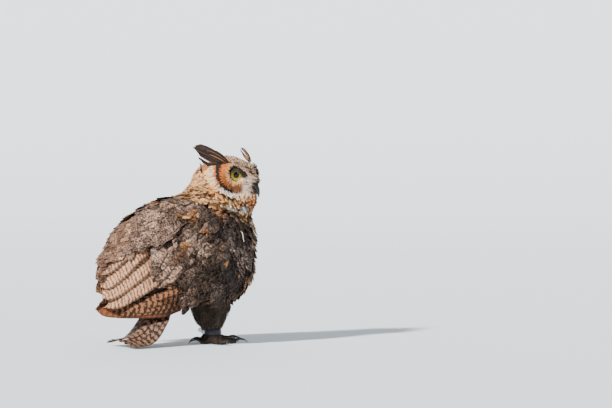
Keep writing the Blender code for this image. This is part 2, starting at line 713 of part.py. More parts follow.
def build_owl():
    clear_scene()
    owl = new_collection("great_horned_owl")
    cutters = new_collection("cutters")

    head = make_head(owl)
    neck = make_neck(owl)
    trunk = loft("trunk", profile_rings(TRUNK, 14, 20, 0.90), "plumage_brown", owl)
    gap = Vector((0, 0, 2 * GAP))
    boolean(trunk, block("over", (-0.095, -1, 0), (0.3, 1, 0.2), cutters, collar_plane(NECK_FOOT - gap)))

    wings = []
    for side, sign in SIDES:
        wings.extend(make_wing(side, sign, owl))
    tail = make_tail(owl)
    floor = block("floor", (-0.6, -0.3, -0.1), (0.6, 0.3, 0.0), cutters)
    boolean(tail, floor)

    carve(trunk, wings, cutters)
    carve(tail, [trunk], cutters)

    boolean(head, block("under", (-1, -1, -1), (1, 1, 0), cutters, collar_plane(NECK_TOP + gap)))
    carve(neck, wings, cutters)

    for side, sign in SIDES:
        eye = make_eye(side, sign, owl)
        carve(head, [eye], cutters)
    bill = make_bill(owl)
    lower = make_lower_bill(owl)
    carve(lower, [bill], cutters)
    carve(head, [bill, lower], cutters)
    for side, sign in SIDES:
        tuft = make_tuft(side, sign, owl)
        carve(tuft, [head], cutters)

    for side, sign in SIDES:
        leg = make_leg(side, sign, owl)
        foot = make_foot(side, sign, cutters, owl)
        make_anklet(side, owl)
        make_grommet(side, owl)
        top = block("over_foot", (-1, -1, -1), (1, 1, SHANK_TOP + 2 * GAP), cutters)
        boolean(leg, top)
        carve(leg, [trunk, *[w for w in wings if w.name.startswith(side)], tail], cutters)
        for toe in TOES:
            claw = make_claw(side, sign, toe, owl)
            carve(claw, [foot], cutters)

    for cutter in list(cutters.objects):
        bpy.data.objects.remove(cutter, do_unlink=True)
    for obj in owl.objects:
        keep_one_body(obj)
        obj.data.shade_smooth()
        obj.data.set_sharp_from_angle(angle=math.radians(40))
    centre_on_floor(list(owl.objects))


build_owl()
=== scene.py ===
"""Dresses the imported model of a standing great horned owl: skin, plumage, eyes, bill, talons and anklets."""

import math
from collections import namedtuple
from contextlib import contextmanager

import bpy
import numpy as np
from mathutils import Matrix, Vector
from mathutils.bvhtree import BVHTree


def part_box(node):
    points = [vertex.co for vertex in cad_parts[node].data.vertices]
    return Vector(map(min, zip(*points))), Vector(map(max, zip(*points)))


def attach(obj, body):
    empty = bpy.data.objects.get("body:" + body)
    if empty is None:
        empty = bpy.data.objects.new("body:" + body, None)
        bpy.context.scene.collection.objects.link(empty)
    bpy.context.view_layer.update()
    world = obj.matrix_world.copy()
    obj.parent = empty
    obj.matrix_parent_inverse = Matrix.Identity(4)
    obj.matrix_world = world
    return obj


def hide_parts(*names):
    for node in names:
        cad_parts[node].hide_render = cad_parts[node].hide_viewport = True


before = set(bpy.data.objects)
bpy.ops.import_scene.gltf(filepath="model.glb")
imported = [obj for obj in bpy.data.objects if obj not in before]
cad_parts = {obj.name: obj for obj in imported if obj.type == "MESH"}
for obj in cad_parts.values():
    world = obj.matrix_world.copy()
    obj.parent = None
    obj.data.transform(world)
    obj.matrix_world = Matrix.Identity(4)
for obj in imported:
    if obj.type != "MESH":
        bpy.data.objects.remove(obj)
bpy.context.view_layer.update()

bl_info = {
    "name": "Great Horned Owl",
    "version": (1, 0, 0),
    "blender": (4, 5, 0),
    "location": "View3D > Sidebar > Owl",
    "description": "Feathers, eyes, bill and talons for a standing great horned owl",
    "category": "Object",
}

SIDES = (("right", -1), ("left", 1))
FLESH = ("head", "neck", "trunk", "right_wing", "left_wing", "right_leg", "left_leg", "right_foot", "left_foot")


# --- Places on the frame -------------------------------------------------------------------------


def middle_of(node):
    low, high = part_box(node)
    return (Vector(low) + Vector(high)) / 2


EYES = {side: middle_of(side + "_eye") for side, _ in SIDES}
EYE_AHEAD, EYE_ABOVE = 0.0220, 0.0145  # of the head's middle
EYE_ASIDE = (EYES["left"] - EYES["right"]).length / 2
EYE_YAW = math.radians(28)
FACE_YAW = math.radians(33)
HEAD_NOD = math.radians(4)
BROW_RISE, BROW_SLOPE = 0.0125, 0.45  # the brows' line: its height over the eye, and its climb outwards
SPINE_Y = middle_of("trunk").y
WING_TIP = Vector((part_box("right_primaries")[0][0], SPINE_Y, 0.080))
COLLAR = middle_of("neck")
COLLAR_TILT = math.radians(20)


def head_frame():
    """The head's own frame, bill along +X, worked out from the line between the eyes."""
    across = (EYES["left"] - EYES["right"]).normalized()
    turn = Matrix.Rotation(math.atan2(-across.x, across.y), 4, "Z") @ Matrix.Rotation(HEAD_NOD, 4, "Y")
    centre = (EYES["left"] + EYES["right"]) / 2 - turn @ Vector((EYE_AHEAD, 0, EYE_ABOVE))
    return Matrix.Translation(centre) @ turn


HEAD = head_frame()


def tint(red, green, blue):
    """A colour as it looks on a screen, made linear."""
    return tuple(c / 12.92 if c <= 0.04045 else ((c + 0.055) / 1.055) ** 2.4 for c in (red, green, blue))


# --- Settings ------------------------------------------------------------------------------------


def spacing_setting(label, where, default, low=0.001):
    return bpy.props.FloatProperty(
        name=label + " spacing", description="Distance between feather roots on " + where,
        default=default, min=low, unit="LENGTH",
    )


def colour_setting(name, description, default):
    return bpy.props.FloatVectorProperty(
        name=name, description=description, default=default, subtype="COLOR", size=3, min=0, max=1
    )


class OwlPlumageSettings(bpy.types.PropertyGroup):
    seed: bpy.props.IntProperty(name="Seed", description="Start of every random choice", default=7, min=0)
    skin_voxel: bpy.props.FloatProperty(
        name="Skin voxel", description="Grain of the skin's mesh", default=0.0028, min=0.001, unit="LENGTH"
    )
    body_spacing: spacing_setting("Body", "body and wings", 0.0062, 0.002)
    neck_spacing: spacing_setting("Neck", "neck and nape", 0.0042, 0.002)
    head_spacing: spacing_setting("Crown", "the crown", 0.0029)
    face_spacing: spacing_setting("Face", "the facial disc", 0.0019)
    leg_spacing: spacing_setting("Leg", "the legs", 0.0040)
    toe_spacing: spacing_setting("Toe", "the toes", 0.0021)


class OwlHeadSettings(bpy.types.PropertyGroup):
    iris: colour_setting("Iris", "Yellow of the iris", (0.48, 0.34, 0.006))
    pupil: bpy.props.FloatProperty(
        name="Pupil", description="Pupil's share of the iris", default=0.50, min=0.1, max=0.9, subtype="FACTOR"
    )
    eye_opening: bpy.props.FloatProperty(
        name="Eye opening", description="Radius of the opening between the lids", default=0.0121, unit="LENGTH"
    )
    horn: colour_setting("Horn", "Colour of bill and claws", tint(0.055, 0.047, 0.042))


class OwlStageSettings(bpy.types.PropertyGroup):
    azimuth: bpy.props.FloatProperty(
        name="Azimuth", description="Camera's direction round the owl", default=math.radians(-25), subtype="ANGLE"
    )
    elevation: bpy.props.FloatProperty(
        name="Elevation", description="Camera's height angle", default=math.radians(2.0), subtype="ANGLE"
    )
    aim: bpy.props.FloatVectorProperty(
        name="Aim", description="What the camera looks at", default=(0.2471, -0.1045, 0.2943), subtype="TRANSLATION"
    )
    distance: bpy.props.FloatProperty(name="Distance", description="Camera to its aim", default=7.14, unit="LENGTH")
    lens: bpy.props.FloatProperty(name="Lens", description="Focal length", default=200, unit="CAMERA")
    key_strength: bpy.props.FloatProperty(
        name="Key light", description="Strength of the main light", default=9.6, min=0
    )
    fill_power: bpy.props.FloatProperty(
        name="Fill light", description="Power of the soft fill", default=28, unit="POWER"
    )


# --- Arrays --------------------------------------------------------------------------------------


def fade(value, start, end):
    """0 at start, 1 at end and beyond, smooth between; start may be the larger."""
    t = np.clip((np.asarray(value) - start) / (end - start), 0, 1)
    return t * t * (3 - 2 * t)


def band(value, low, high, soft):
    return fade(value, low - soft, low + soft) * fade(value, high + soft, high - soft)


def unit(vectors):
    return vectors / np.maximum(np.linalg.norm(vectors, axis=-1, keepdims=True), 1e-9)


def along_surface(vectors, normals):
    return unit(vectors - normals * np.sum(vectors * normals, axis=-1, keepdims=True))


def wing_foot(x):
    """Height of the wing's lower edge along the body."""
    return 0.056 + 1.05 * (x + 0.110) ** 2


def to_head(points):
    return (points - np.array(HEAD.translation)) @ np.array(HEAD.to_3x3())


def from_head(vectors):
    return vectors @ np.array(HEAD.to_3x3()).T


class Spots:
    """Points of the body, seen in the coordinates that markings and lie are described in."""

    def __init__(self, points):
        self.points = points
        self.x, self.y, self.z = points.T
        self.ahead, aside, self.above = to_head(points).T
        self.side, self.sign = np.abs(aside), np.sign(aside)
        # Over the face: outwards from the eye towards the ear, and up.
        behind, outside = EYE_AHEAD - self.ahead, self.side - EYE_ASIDE
        self.rear = behind * math.sin(FACE_YAW) + outside * math.cos(FACE_YAW)
        self.up = self.above - EYE_ABOVE
        self.brow_line = self.up - (BROW_RISE + BROW_SLOPE * (self.rear + 0.008))
        sunk = behind * math.cos(FACE_YAW) - outside * math.sin(FACE_YAW)
        self.rear = self.rear + 2 * np.maximum(sunk - 0.032, 0)  # the back of the head is far from the eye
        self.from_eye = np.hypot(
            np.where(self.rear > 0, 1.15, 1.0) * self.rear, np.where(self.up < 0, 1.28, 1.0) * self.up
        )
        self.bearing = np.degrees(np.arctan2(self.up, self.rear))
        rise = (points - np.array(COLLAR)) @ np.array((math.sin(COLLAR_TILT), 0, math.cos(COLLAR_TILT)))
        self.head = fade(rise, 0.004, 0.026)
        self.neck = fade(rise, -0.021, 0.002)
        self.head_and_neck = np.maximum(self.neck, self.head)
        self.off_spine = np.abs(self.y - SPINE_Y)
        self.everywhere = np.ones(len(points))
        # Round the wing: 0 along the back, 90 at its lower edge.
        self.wing_angle = np.degrees(np.arctan2(self.off_spine, self.z - wing_foot(self.x)))
        self.covert_edge = -0.152 + 0.087 * fade(self.wing_angle, 12, 21) + 0.061 * fade(self.wing_angle, 34, 62)
        oval = ((self.x + 0.090) / 0.074) ** 2 + ((self.wing_angle - 11.5 - 95 * (self.x + 0.090)) / 8.0) ** 2
        lump = ((self.x + 0.014) / 0.040) ** 2 + ((self.wing_angle - 12) / 6.5) ** 2
        self.scapular = np.maximum(fade(oval, 1.08, 0.90), 0.7 * fade(lump, 1.2, 0.8))
        # Painted shadow: a band just below the scapulars' oval, where its lower edge throws shade.
        self.painted_scapular_shadow = fade(oval, 1.0, 1.2) * fade(oval, 2.0, 1.6) * fade(self.wing_angle, 12, 16)
        axes = np.array([middle_of(side + "_leg") for side, _ in SIDES])[:, :2]
        from_leg = np.linalg.norm(points[:, None, :2] - axes[None], axis=2).min(axis=1)
        self.leg = fade(self.z, 0.105, 0.090) * fade(from_leg, 0.050, 0.043)

    @property
    def face(self):
        """The front of the head, below the brows."""
        return self.head * fade(self.brow_line, 0.002, -0.002) * fade(self.from_eye, 0.0455, 0.0435)

    def strip(self, base, near, far, soft, start, end, turn_soft):
        """Part of base: a strip curved round the eye, between two distances from it and two bearings."""
        return base * band(self.from_eye, near, far, soft) * band(self.bearing, start, end, turn_soft)


# --- Markings ------------------------------------------------------------------------------------

Patch = namedtuple("Patch", "name where ground mark bars contrast streak tip length width")

BLACK = (0.09, 0.075, 0.07)
# Each patch of plumage lies over the ones above it. Colours are as they look on a screen.
PLUMAGE = (
    Patch("back", lambda s: s.everywhere,
          (0.54, 0.44, 0.38), (0.07, 0.06, 0.05), 0.1, 0.95, 0.05, 0.0, 0.034, 0.0180),
    Patch("scapulars", lambda s: s.scapular,
          (0.59, 0.47, 0.405), (0.09, 0.07, 0.06), 0.0, 0.92, 0.0, 0.0, 0.036, 0.0190),
    # Painted shadow below the scapulars' lower edge: dark ground and mark.
    Patch("under scapulars", lambda s: s.painted_scapular_shadow,
          (0.21, 0.155, 0.125), (0.035, 0.028, 0.025), 0.1, 0.90, 0.1, 0.1, 0.030, 0.016),
    Patch("mantle", lambda s: fade(s.z, 0.250, 0.275) * (1 - s.scapular),
          (0.44, 0.36, 0.32), (0.05, 0.04, 0.04), 0.1, 0.92, 0.2, 0.1, 0.026, 0.0130),
    # Darker towards the bottom of the wing: partly the coverts' own colour, partly painted shade of the lower body.
    Patch("lower coverts", lambda s: fade(s.x, -0.08, 0.0) * fade(s.z, 0.22, 0.16),
          (0.36, 0.285, 0.24), (0.04, 0.033, 0.03), 0.15, 0.97, 0.1, 0.1, 0.032, 0.0165),
    Patch("tawny clumps", lambda s: 0.75 * fade(mottle(s.points, 0.024), 0.9, 1.5)
          * fade(s.z, 0.18, 0.23) * fade(s.x, -0.07, -0.03),
          (0.84, 0.57, 0.36), (0.14, 0.09, 0.06), 0.1, 0.75, 0.1, 0.1, 0.028, 0.0140),
    Patch("shoulder", lambda s: fade(s.x, 0.045, 0.100) * fade(s.z, 0.30, 0.26),
          (0.33, 0.28, 0.26), (0.03, 0.03, 0.03), 0.1, 0.98, 0.2, 0.2, 0.030, 0.017),
    Patch("breast", lambda s: fade(s.x, 0.125, 0.150) * fade(s.off_spine, 0.060, 0.045),
          (0.60, 0.46, 0.34), (0.06, 0.04, 0.04), 0.85, 0.88, 0.0, 0.1, 0.030, 0.017),
    Patch("belly", lambda s: fade(s.z, 0.125, 0.105) * fade(s.off_spine, 0.072, 0.060),
          (0.52, 0.40, 0.31), (0.07, 0.05, 0.04), 0.95, 0.85, 0.0, 0.0, 0.030, 0.014),
    Patch("rump", lambda s: fade(s.x, -0.075, -0.10) * fade(s.off_spine, 0.05, 0.035),
          (0.52, 0.39, 0.31), (0.09, 0.07, 0.06), 0.3, 0.85, 0.0, 0.0, 0.030, 0.016),
    # Legs darkened well below their own buff: painted shade under the body.
    Patch("leg", lambda s: s.leg,
          (0.21, 0.17, 0.14), (0.025, 0.022, 0.020), 0.6, 0.90, 0.2, 0.0, 0.0150, 0.0046),
    Patch("foot", lambda s: fade(s.z, 0.034, 0.026),
          (0.22, 0.18, 0.15), (0.06, 0.05, 0.045), 0.6, 0.5, 0.0, 0.0, 0.0080, 0.0030),
    Patch("neck", lambda s: s.neck,
          (1.0, 0.79, 0.54), (0.20, 0.12, 0.07), 0.10, 0.30, 0.45, 0.2, 0.0185, 0.0074),
    Patch("tawny neck", lambda s: 0.8 * s.neck * fade(mottle(s.points, 0.013), 0.1, 0.8),
          (1.0, 0.67, 0.36), (0.22, 0.12, 0.06), 0.10, 0.30, 0.35, 0.2, 0.0185, 0.0074),
    Patch("nape", lambda s: s.neck * np.maximum(fade(s.ahead, -0.020, -0.040), fade(s.rear, 0.046, 0.054)),
          (1.0, 0.76, 0.52), (0.14, 0.09, 0.06), 0.1, 0.55, 0.75, 0.2, 0.0180, 0.0074),
    Patch("neck side", lambda s: s.strip(s.head, 0.0425, 0.0510, 0.0020, -60, 48, 10),
          (0.99, 0.87, 0.72), (0.55, 0.36, 0.22), 0.0, 0.25, 0.25, 0.0, 0.0120, 0.0044),
    Patch("crown", lambda s: s.head * fade(s.brow_line, -0.001, 0.003) * fade(s.above, 0.010, 0.020)
          * (1 - 0.75 * fade(s.ahead, -0.010, -0.045)),
          (1.0, 0.84, 0.69), (0.10, 0.065, 0.05), 0.20, 0.45, 0.9, 0.4, 0.0130, 0.0074),
    Patch("brow", lambda s: s.head * band(s.brow_line, 0.0015, 0.0075, 0.0012) * fade(s.rear, 0.000, -0.010),
          (1.0, 0.82, 0.66), (0.24, 0.17, 0.13), 0.3, 0.35, 0.2, 0.0, 0.0110, 0.0050),
    # Dark stripe along the brow over the eye: partly the brow's dark feathers, partly painted shade under its
    # overhang.
    Patch("brow end", lambda s: s.head * band(
              s.brow_line, -0.0015, 0.0040 + 0.006 * fade(s.rear, 0.006, 0.016), 0.0012)
          * band(s.rear, -0.010, 0.036, 0.004),
          (0.17, 0.125, 0.10), BLACK, 0.1, 0.9, 0.3, 0.0, 0.0120, 0.0046),
    Patch("temple", lambda s: s.head * band(s.rear, 0.030, 0.037, 0.002) * band(s.up, 0.020, 0.036, 0.003),
          (0.93, 0.62, 0.34), (0.50, 0.29, 0.15), 0.0, 0.3, 0.1, 0.0, 0.0130, 0.0042),
    Patch("disc", lambda s: s.face,
          (0.74, 0.40, 0.17), (0.34, 0.16, 0.065), 0.0, 0.50, 0.20, 0.0, 0.0100, 0.0026),
    Patch("disc foot", lambda s: s.face * fade(s.up, -0.008, -0.024),
          (0.50, 0.32, 0.20), (0.15, 0.09, 0.06), 0.0, 0.60, 0.20, 0.0, 0.0090, 0.0026),
    Patch("eye ring", lambda s: s.face * fade(s.from_eye, 0.0225, 0.0180),
          (1.0, 0.80, 0.56), (0.78, 0.50, 0.27), 0.0, 0.12, 0.0, 0.0, 0.0070, 0.0020),
    # Dark arc round the top and front of the eye: painted shade of the lid and brow.
    Patch("eye corner", lambda s: s.face * fade(s.from_eye, 0.0200, 0.0160) * band(s.bearing, 20, 165, 12),
          (0.12, 0.09, 0.07), BLACK, 0.0, 0.5, 0.0, 0.0, 0.0070, 0.0020),
    Patch("lore", lambda s: s.face * fade(s.rear, -0.009, -0.015),
          (0.97, 0.86, 0.77), (0.24, 0.19, 0.16), 0.0, 0.50, 0.45, 0.0, 0.0130, 0.0018),
    Patch("lore at the bill", lambda s: s.face * fade(s.rear, -0.0185, -0.0245) * fade(s.up, 0.004, -0.006),
          (0.24, 0.205, 0.19), (0.08, 0.07, 0.065), 0.0, 0.60, 0.40, 0.0, 0.0120, 0.0016),
    # Black at the eye's front corner: painted shade of the brow, continued from the arc over the eye.
    Patch("front corner", lambda s: s.head * fade(s.brow_line + 0.005 * (s.sign > 0), 0.0040, 0.0020)
          * band(s.rear, -0.0235, -0.0085, 0.0012) * fade(s.up + 0.45 * (s.rear + 0.010), -0.0055, -0.0030),
          (0.06, 0.05, 0.045), BLACK, 0.0, 0.5, 0.0, 0.0, 0.0060, 0.0026),
    Patch("rim", lambda s: s.strip(s.head, 0.0328, 0.0422, 0.0006, -80, 46, 3),
          (0.06, 0.05, 0.05), BLACK, 0.0, 0.0, 0.0, 0.0, 0.0070, 0.0048),
    Patch("chin", lambda s: s.strip(s.head, 0.0425, 0.0525, 0.0015, -118, -44, 6),
          (1.0, 0.95, 0.89), (0.80, 0.62, 0.45), 0.0, 0.10, 0.0, 0.0, 0.0105, 0.0042),
    Patch("chin line", lambda s: s.strip(s.head_and_neck, 0.0525, 0.0590, 0.0015, -92, -38, 5),
          (0.24, 0.17, 0.14), BLACK, 0.0, 0.6, 0.0, 0.0, 0.0115, 0.0048),
    Patch("bib", lambda s: s.strip(s.head_and_neck, 0.050, 0.063, 0.002, -150, -98, 6) * fade(s.ahead, 0.0, 0.02),
          (1.0, 0.84, 0.66), (0.45, 0.27, 0.15), 0.3, 0.35, 0.2, 0.0, 0.0125, 0.0050),
    Patch("ruff", lambda s: s.strip(s.head_and_neck, 0.062, 0.088, 0.002, -150, -96, 6) * fade(s.ahead, 0.0, 0.02),
          (0.78, 0.48, 0.27), (0.09, 0.055, 0.04), 0.9, 0.95, 0.0, 0.7, 0.0130, 0.0074),
    # Painted shadow: a dark band under the ruff, where it shades the throat.
    Patch("under ruff", lambda s: s.neck * fade(s.from_eye, 0.093, 0.099) * band(s.bearing, -140, -82, 5)
          * fade(s.ahead, 0.0, 0.02),
          (0.20, 0.16, 0.15), BLACK, 0.3, 0.7, 0.0, 0.1, 0.0170, 0.0080),
    Patch("throat", lambda s: s.strip(s.neck, 0.072, 0.086, 0.003, -118, -66, 6),
          (0.99, 0.95, 0.91), (0.45, 0.34, 0.27), 0.0, 0.25, 0.3, 0.0, 0.0160, 0.0062),
)


def mottle(points, size):
    """A smooth random field with blotches of about this size; its spread is about 1."""
    rng = np.random.default_rng(11)
    waves = unit(rng.normal(size=(24, 3))) * (math.pi / size) * (0.7 + 0.6 * rng.random((24, 1)))
    return np.cos(points @ waves.T + rng.random(24) * 2 * math.pi).sum(axis=1) / math.sqrt(12)


def markings(spots):
    """Each patch laid over the ones before it: colours, pattern weights and feather sizes at every point."""
    values = np.zeros((len(spots.x), 12))
    for patch in PLUMAGE:
        row = (*tint(*patch.ground), *tint(*patch.mark), *patch[4:])
        values = blend(values, np.array(row), patch.where(spots))
    body = 0.36 * mottle(spots.points, 0.015) + 0.30 * mottle(spots.points, 0.034)
    fine = 0.30 * mottle(spots.points, 0.0065)
    blotches = body * (1 - spots.head) * (1 - 0.4 * spots.scapular) + fine * (1 - 0.7 * spots.face)
    for colours in (values[:, 0:3], values[:, 3:6]):
        colours *= np.minimum(np.exp(blotches), 0.93 / colours.max(axis=1))[:, None]
    return {
        "ground": values[:, 0:3], "mark": values[:, 3:6], "pattern": values[:, 6:10],
        "length": values[:, 10], "width": values[:, 11],
    }


def blend(values, others, share):
    """Rows of values, going over to others where the share is 1."""
    share = share[:, None]
    return values * (1 - share) + others * share


# Depths of the coat: over the body, how much less on neck, head and legs, on the face and on the toes.
BODY_COAT, NECK_LESS, HEAD_LESS, LEG_LESS, FACE_COAT, TOE_COAT = 0.0065, 0.0020, 0.0012, 0.0030, 0.0022, 0.0016
TOE_TOP = 0.034


def coat_depth(spots):
    """How far the skin lies below the feathers' outer form."""
    depth = BODY_COAT - NECK_LESS * spots.neck - HEAD_LESS * spots.head
    depth = depth * (1 - spots.face) + FACE_COAT * spots.face
    return np.where(spots.z < TOE_TOP, TOE_COAT, depth - LEG_LESS * spots.leg)


def forehead_drop(spots):
    """How much flatter the forehead's plumage lies than the frame's outer form."""
    top = fade(spots.above, 0.030, 0.042) + fade(spots.brow_line, -0.004, 0.012) * fade(spots.ahead, -0.005, 0.015)
    return spots.head * np.minimum(top, 1) * (0.0040 + 0.0050 * fade(spots.ahead, -0.010, 0.015))


SCAPULAR_SWELL, COLLAR_SWELL, CLUMP_SWELL, RING_SWELL = 0.0085, 0.005, 0.0042, 0.0034


def swelling(spots):
    """How far the feathers stand off the outer form: scapulars, collar of the breast, clumps and face."""
    collar = band(spots.z, 0.245, 0.285, 0.010) * fade(spots.x, 0.115, 0.140)
    body = (1 - spots.scapular) * (1 - spots.neck) * (1 - spots.leg) * fade(spots.z, 0.040, 0.100)
    clumps = np.clip(mottle(spots.points, 0.026), -1.0, 1.4)
    ring = band(spots.from_eye, 0.0100, 0.0175, 0.0030)
    raised = SCAPULAR_SWELL * spots.scapular + COLLAR_SWELL * collar + CLUMP_SWELL * clumps * body
    return raised - forehead_drop(spots) + RING_SWELL * spots.face * ring * fade(spots.up, 0.007, -0.003)


def lie(spots, normals):
    """The direction that a feather rooted at each point lies in, along the surface."""
    zero, one = np.zeros_like(spots.x), np.ones_like(spots.x)
    way = unit(np.array(WING_TIP) + np.stack([zero, 0.5 * (spots.y - SPINE_Y), zero], 1) - spots.points)
    breast = fade(spots.x, 0.080, 0.125) * fade(spots.z, 0.31, 0.28)
    below = fade(spots.z, 0.125, 0.095) * fade(spots.off_spine, 0.075, 0.060) * fade(-spots.x, 0.09, 0.02)
    # Down the breast, aft along the belly, down the legs.
    for other, share in (((-0.28, 0, -1), breast), ((-1, 0, -0.35), below), ((-0.15, 0, -1), spots.leg)):
        way = blend(way, np.array(other), share)
    out = unit(spots.points - np.array((COLLAR.x - 0.01, COLLAR.y, 0)) - np.stack([zero, zero, spots.z], 1))
    way = blend(way, out * 0.35 + np.array((-0.25, 0, -1)), spots.neck)
    # On the head: back over the crown, round the cheeks, and outwards from the eyes on the face.
    back = from_head(np.stack([-one, 0.25 * spots.sign, -0.25 - 6 * np.clip(-spots.ahead, 0, 0.1)], 1))
    way = blend(way, back, spots.head * fade(spots.above, -0.030, 0.010))
    eye_out = np.stack([-math.sin(FACE_YAW) * spots.rear, spots.sign * math.cos(FACE_YAW) * spots.rear, spots.up], 1)
    forwards = np.stack([0.5 * one, -0.35 * spots.sign, -0.9 * one], 1)
    face_way = from_head(blend(unit(eye_out), unit(forwards), fade(spots.rear, -0.006, -0.014)))
    way = blend(way, face_way, spots.face)
    toes = spots.z < 0.030
    way[toes] = toe_lie(spots.points[toes])
    return along_surface(way, normals)


def toe_lie(points):
    """Out along the toes, away from the shank of the nearer foot."""
    feet = np.array([middle_of(side + "_anklet") for side, _ in SIDES])
    nearer = np.argmin(np.linalg.norm(points[:, None, :2] - feet[None, :, :2], axis=2), axis=1)
    out = points - feet[nearer]
    out[:, 2] = -0.010
    return out


# --- Meshes from arrays --------------------------------------------------------------------------


def add_object(name, mesh):
    obj = bpy.data.objects.new(name, mesh)
    bpy.context.scene.collection.objects.link(obj)
    return obj


def mesh_of(name, points, quads, maps, attributes):
    """A smooth mesh from arrays: points, quads, and a value of each map and attribute for every point."""
    mesh = bpy.data.meshes.new(name)
    mesh.vertices.add(len(points))
    mesh.vertices.foreach_set("co", np.ascontiguousarray(points, dtype=np.float32).ravel())
    corners = np.ascontiguousarray(quads, dtype=np.int32).ravel()
    mesh.loops.add(len(corners))
    mesh.loops.foreach_set("vertex_index", corners)
    mesh.polygons.add(len(quads))
    mesh.polygons.foreach_set("loop_start", np.arange(0, len(corners), 4, dtype=np.int32))
    mesh.update(calc_edges=True)
    for layer, values in maps:
        made = mesh.uv_layers.new(name=layer)
        made.data.foreach_set("uv", np.ascontiguousarray(values[corners], dtype=np.float32).ravel())
    for attribute, kind, values in attributes:
        made = mesh.attributes.new(attribute, kind, "POINT")
        field = "color" if kind == "FLOAT_COLOR" else "vector"
        made.data.foreach_set(field, np.ascontiguousarray(values, dtype=np.float32).ravel())
    mesh.shade_smooth()
    return add_object(name, mesh)


def read(rows, key, width, kind=float):
    """One property of many vertices, triangles or corners as an array with a row for each."""
    values = np.empty(len(rows) * width, dtype=kind)
    rows.foreach_get(key, values)
    return values.reshape(-1, width)


def triangles_of(mesh):
    mesh.calc_loop_triangles()
    return read(mesh.loop_triangles, "vertices", 3, np.int32)


def with_alpha(colours, alpha=1.0):
    return np.concatenate([colours, np.broadcast_to(alpha, (len(colours), 1))], axis=1)


SCATTER_TRIES, CLOSEST = 7, 0.80  # points tried for each one kept, and the least spacing as a share


class Surface:
    """A mesh to root and lay feathers on: nearest points, with the smooth normal there."""

    def __init__(self, obj):
        self.points, self.triangles = read(obj.data.vertices, "co", 3), triangles_of(obj.data)
        self.tree = BVHTree.FromPolygons([Vector(p) for p in self.points], self.triangles.tolist())
        self.face_normals = unit(read(obj.data.vertices, "normal", 3)[self.triangles].sum(axis=1))

    def scatter(self, spacing, belongs, rng):
        """Random points about a spacing apart where belongs(spots), and the normals there."""
        corners = self.points[self.triangles]
        a, b, c = (corners[:, k] for k in range(3))
        area = np.linalg.norm(np.cross(b - a, c - a), axis=1) / 2
        area = area * belongs(Spots(corners.mean(axis=1)))
        count = int(area.sum() / spacing**2 * SCATTER_TRIES)
        chosen = rng.choice(len(area), count, p=area / area.sum())
        s, t = np.sqrt(rng.random(count))[:, None], rng.random(count)[:, None]
        where = a[chosen] * (1 - s) + b[chosen] * s * (1 - t) + c[chosen] * s * t
        taken, kept = {}, []
        cell = np.floor(where / spacing).astype(int)
        near = [(i, j, k) for i in (-1, 0, 1) for j in (-1, 0, 1) for k in (-1, 0, 1)]
        reach = (spacing * CLOSEST) ** 2
        for index, (key, point) in enumerate(zip(map(tuple, cell), where)):
            if key in taken:
                continue
            close = (taken.get((key[0] + i, key[1] + j, key[2] + k)) for i, j, k in near)
            if all(other is None or ((other - point) ** 2).sum() > reach for other in close):
                taken[key] = point
                kept.append(index)
        kept = np.array(kept)
        return where[kept], self.face_normals[chosen[kept]]

    def trace(self, roots, normals, headings, lengths, steps):
        """Paths along the surface: points and normals, each steps + 1 long."""
        paths = np.empty((len(roots), steps + 1, 3))
        ups = np.empty_like(paths)
        for i in range(len(roots)):
            point, up, way = Vector(roots[i]), Vector(normals[i]), Vector(headings[i])
            stride = lengths[i] / steps
            for k in range(steps + 1):
                paths[i, k], ups[i, k] = point, up
                found, _, face, _ = self.tree.find_nearest(point + way * stride)
                up = Vector(self.face_normals[face])
                way = (found - point).normalized()
                way = (way - up * way.dot(up)).normalized()
                point = found
        return paths, ups


# --- Vanes ---------------------------------------------------------------------------------------

BAKE_PATCH = 0.003  # side of a small feather's patch on the OFBake map
FLOOR_GAP = 0.0003


def vane_grid(paths, ups, width, rows, columns, *, rise, outline, cup, fray, tilt, sweep, rng):
    """Points (feathers, rows, columns, 3) of vanes along paths, and the grid's own u and v.

    rise(v) is the height above the path, outline(v) the share of the half width, cup how far the
    edges bend down, tilt how far one edge stands above the other, sweep how far the edges trail.
    """
    count, stations = paths.shape[:2]
    v = np.linspace(0, 1, rows) ** 0.92
    u = np.linspace(-1, 1, columns)
    at = v * (stations - 1)
    low = np.minimum(at.astype(int), stations - 2)
    part = (at - low)[:, None]
    centre = paths[:, low] * (1 - part) + paths[:, low + 1] * part
    up = unit(ups[:, low] * (1 - part) + ups[:, low + 1] * part)
    way = unit(np.gradient(centre, axis=1))
    side = unit(np.cross(way, up))
    up = np.cross(side, way)
    half = (width / 2)[:, None, None]
    wide = half * outline(v)[:, None]
    shape = (count, rows, columns)
    across = wide * u * (1 + fray * (rng.random(shape) - 0.5) * np.abs(u))
    height = rise(v)[..., None] - cup * wide * u**2
    height = height + (tilt * width)[:, None, None] * u * 0.5 * fade(v, 0.0, 0.3)[:, None]
    trail = sweep * wide * np.abs(u) * (1 - fade(v, 0.75, 1.0))[:, None]
    trail = trail + fray * half * ((rng.random(shape) - 0.5) * fade(v, 0.6, 1.0)[:, None])
    parts = ((side, across), (up, height), (way, trail))
    return centre[:, :, None] + sum(ways[:, :, None] * share[..., None] for ways, share in parts), u, v


def vane_quads(count, rows, columns):
    row, column = np.meshgrid(np.arange(rows - 1), np.arange(columns - 1), indexing="ij")
    corner = (row * columns + column).ravel()
    one = np.stack([corner, corner + 1, corner + columns + 1, corner + columns], axis=1)
    return (one[None] + (np.arange(count) * rows * columns)[:, None, None]).reshape(-1, 4)


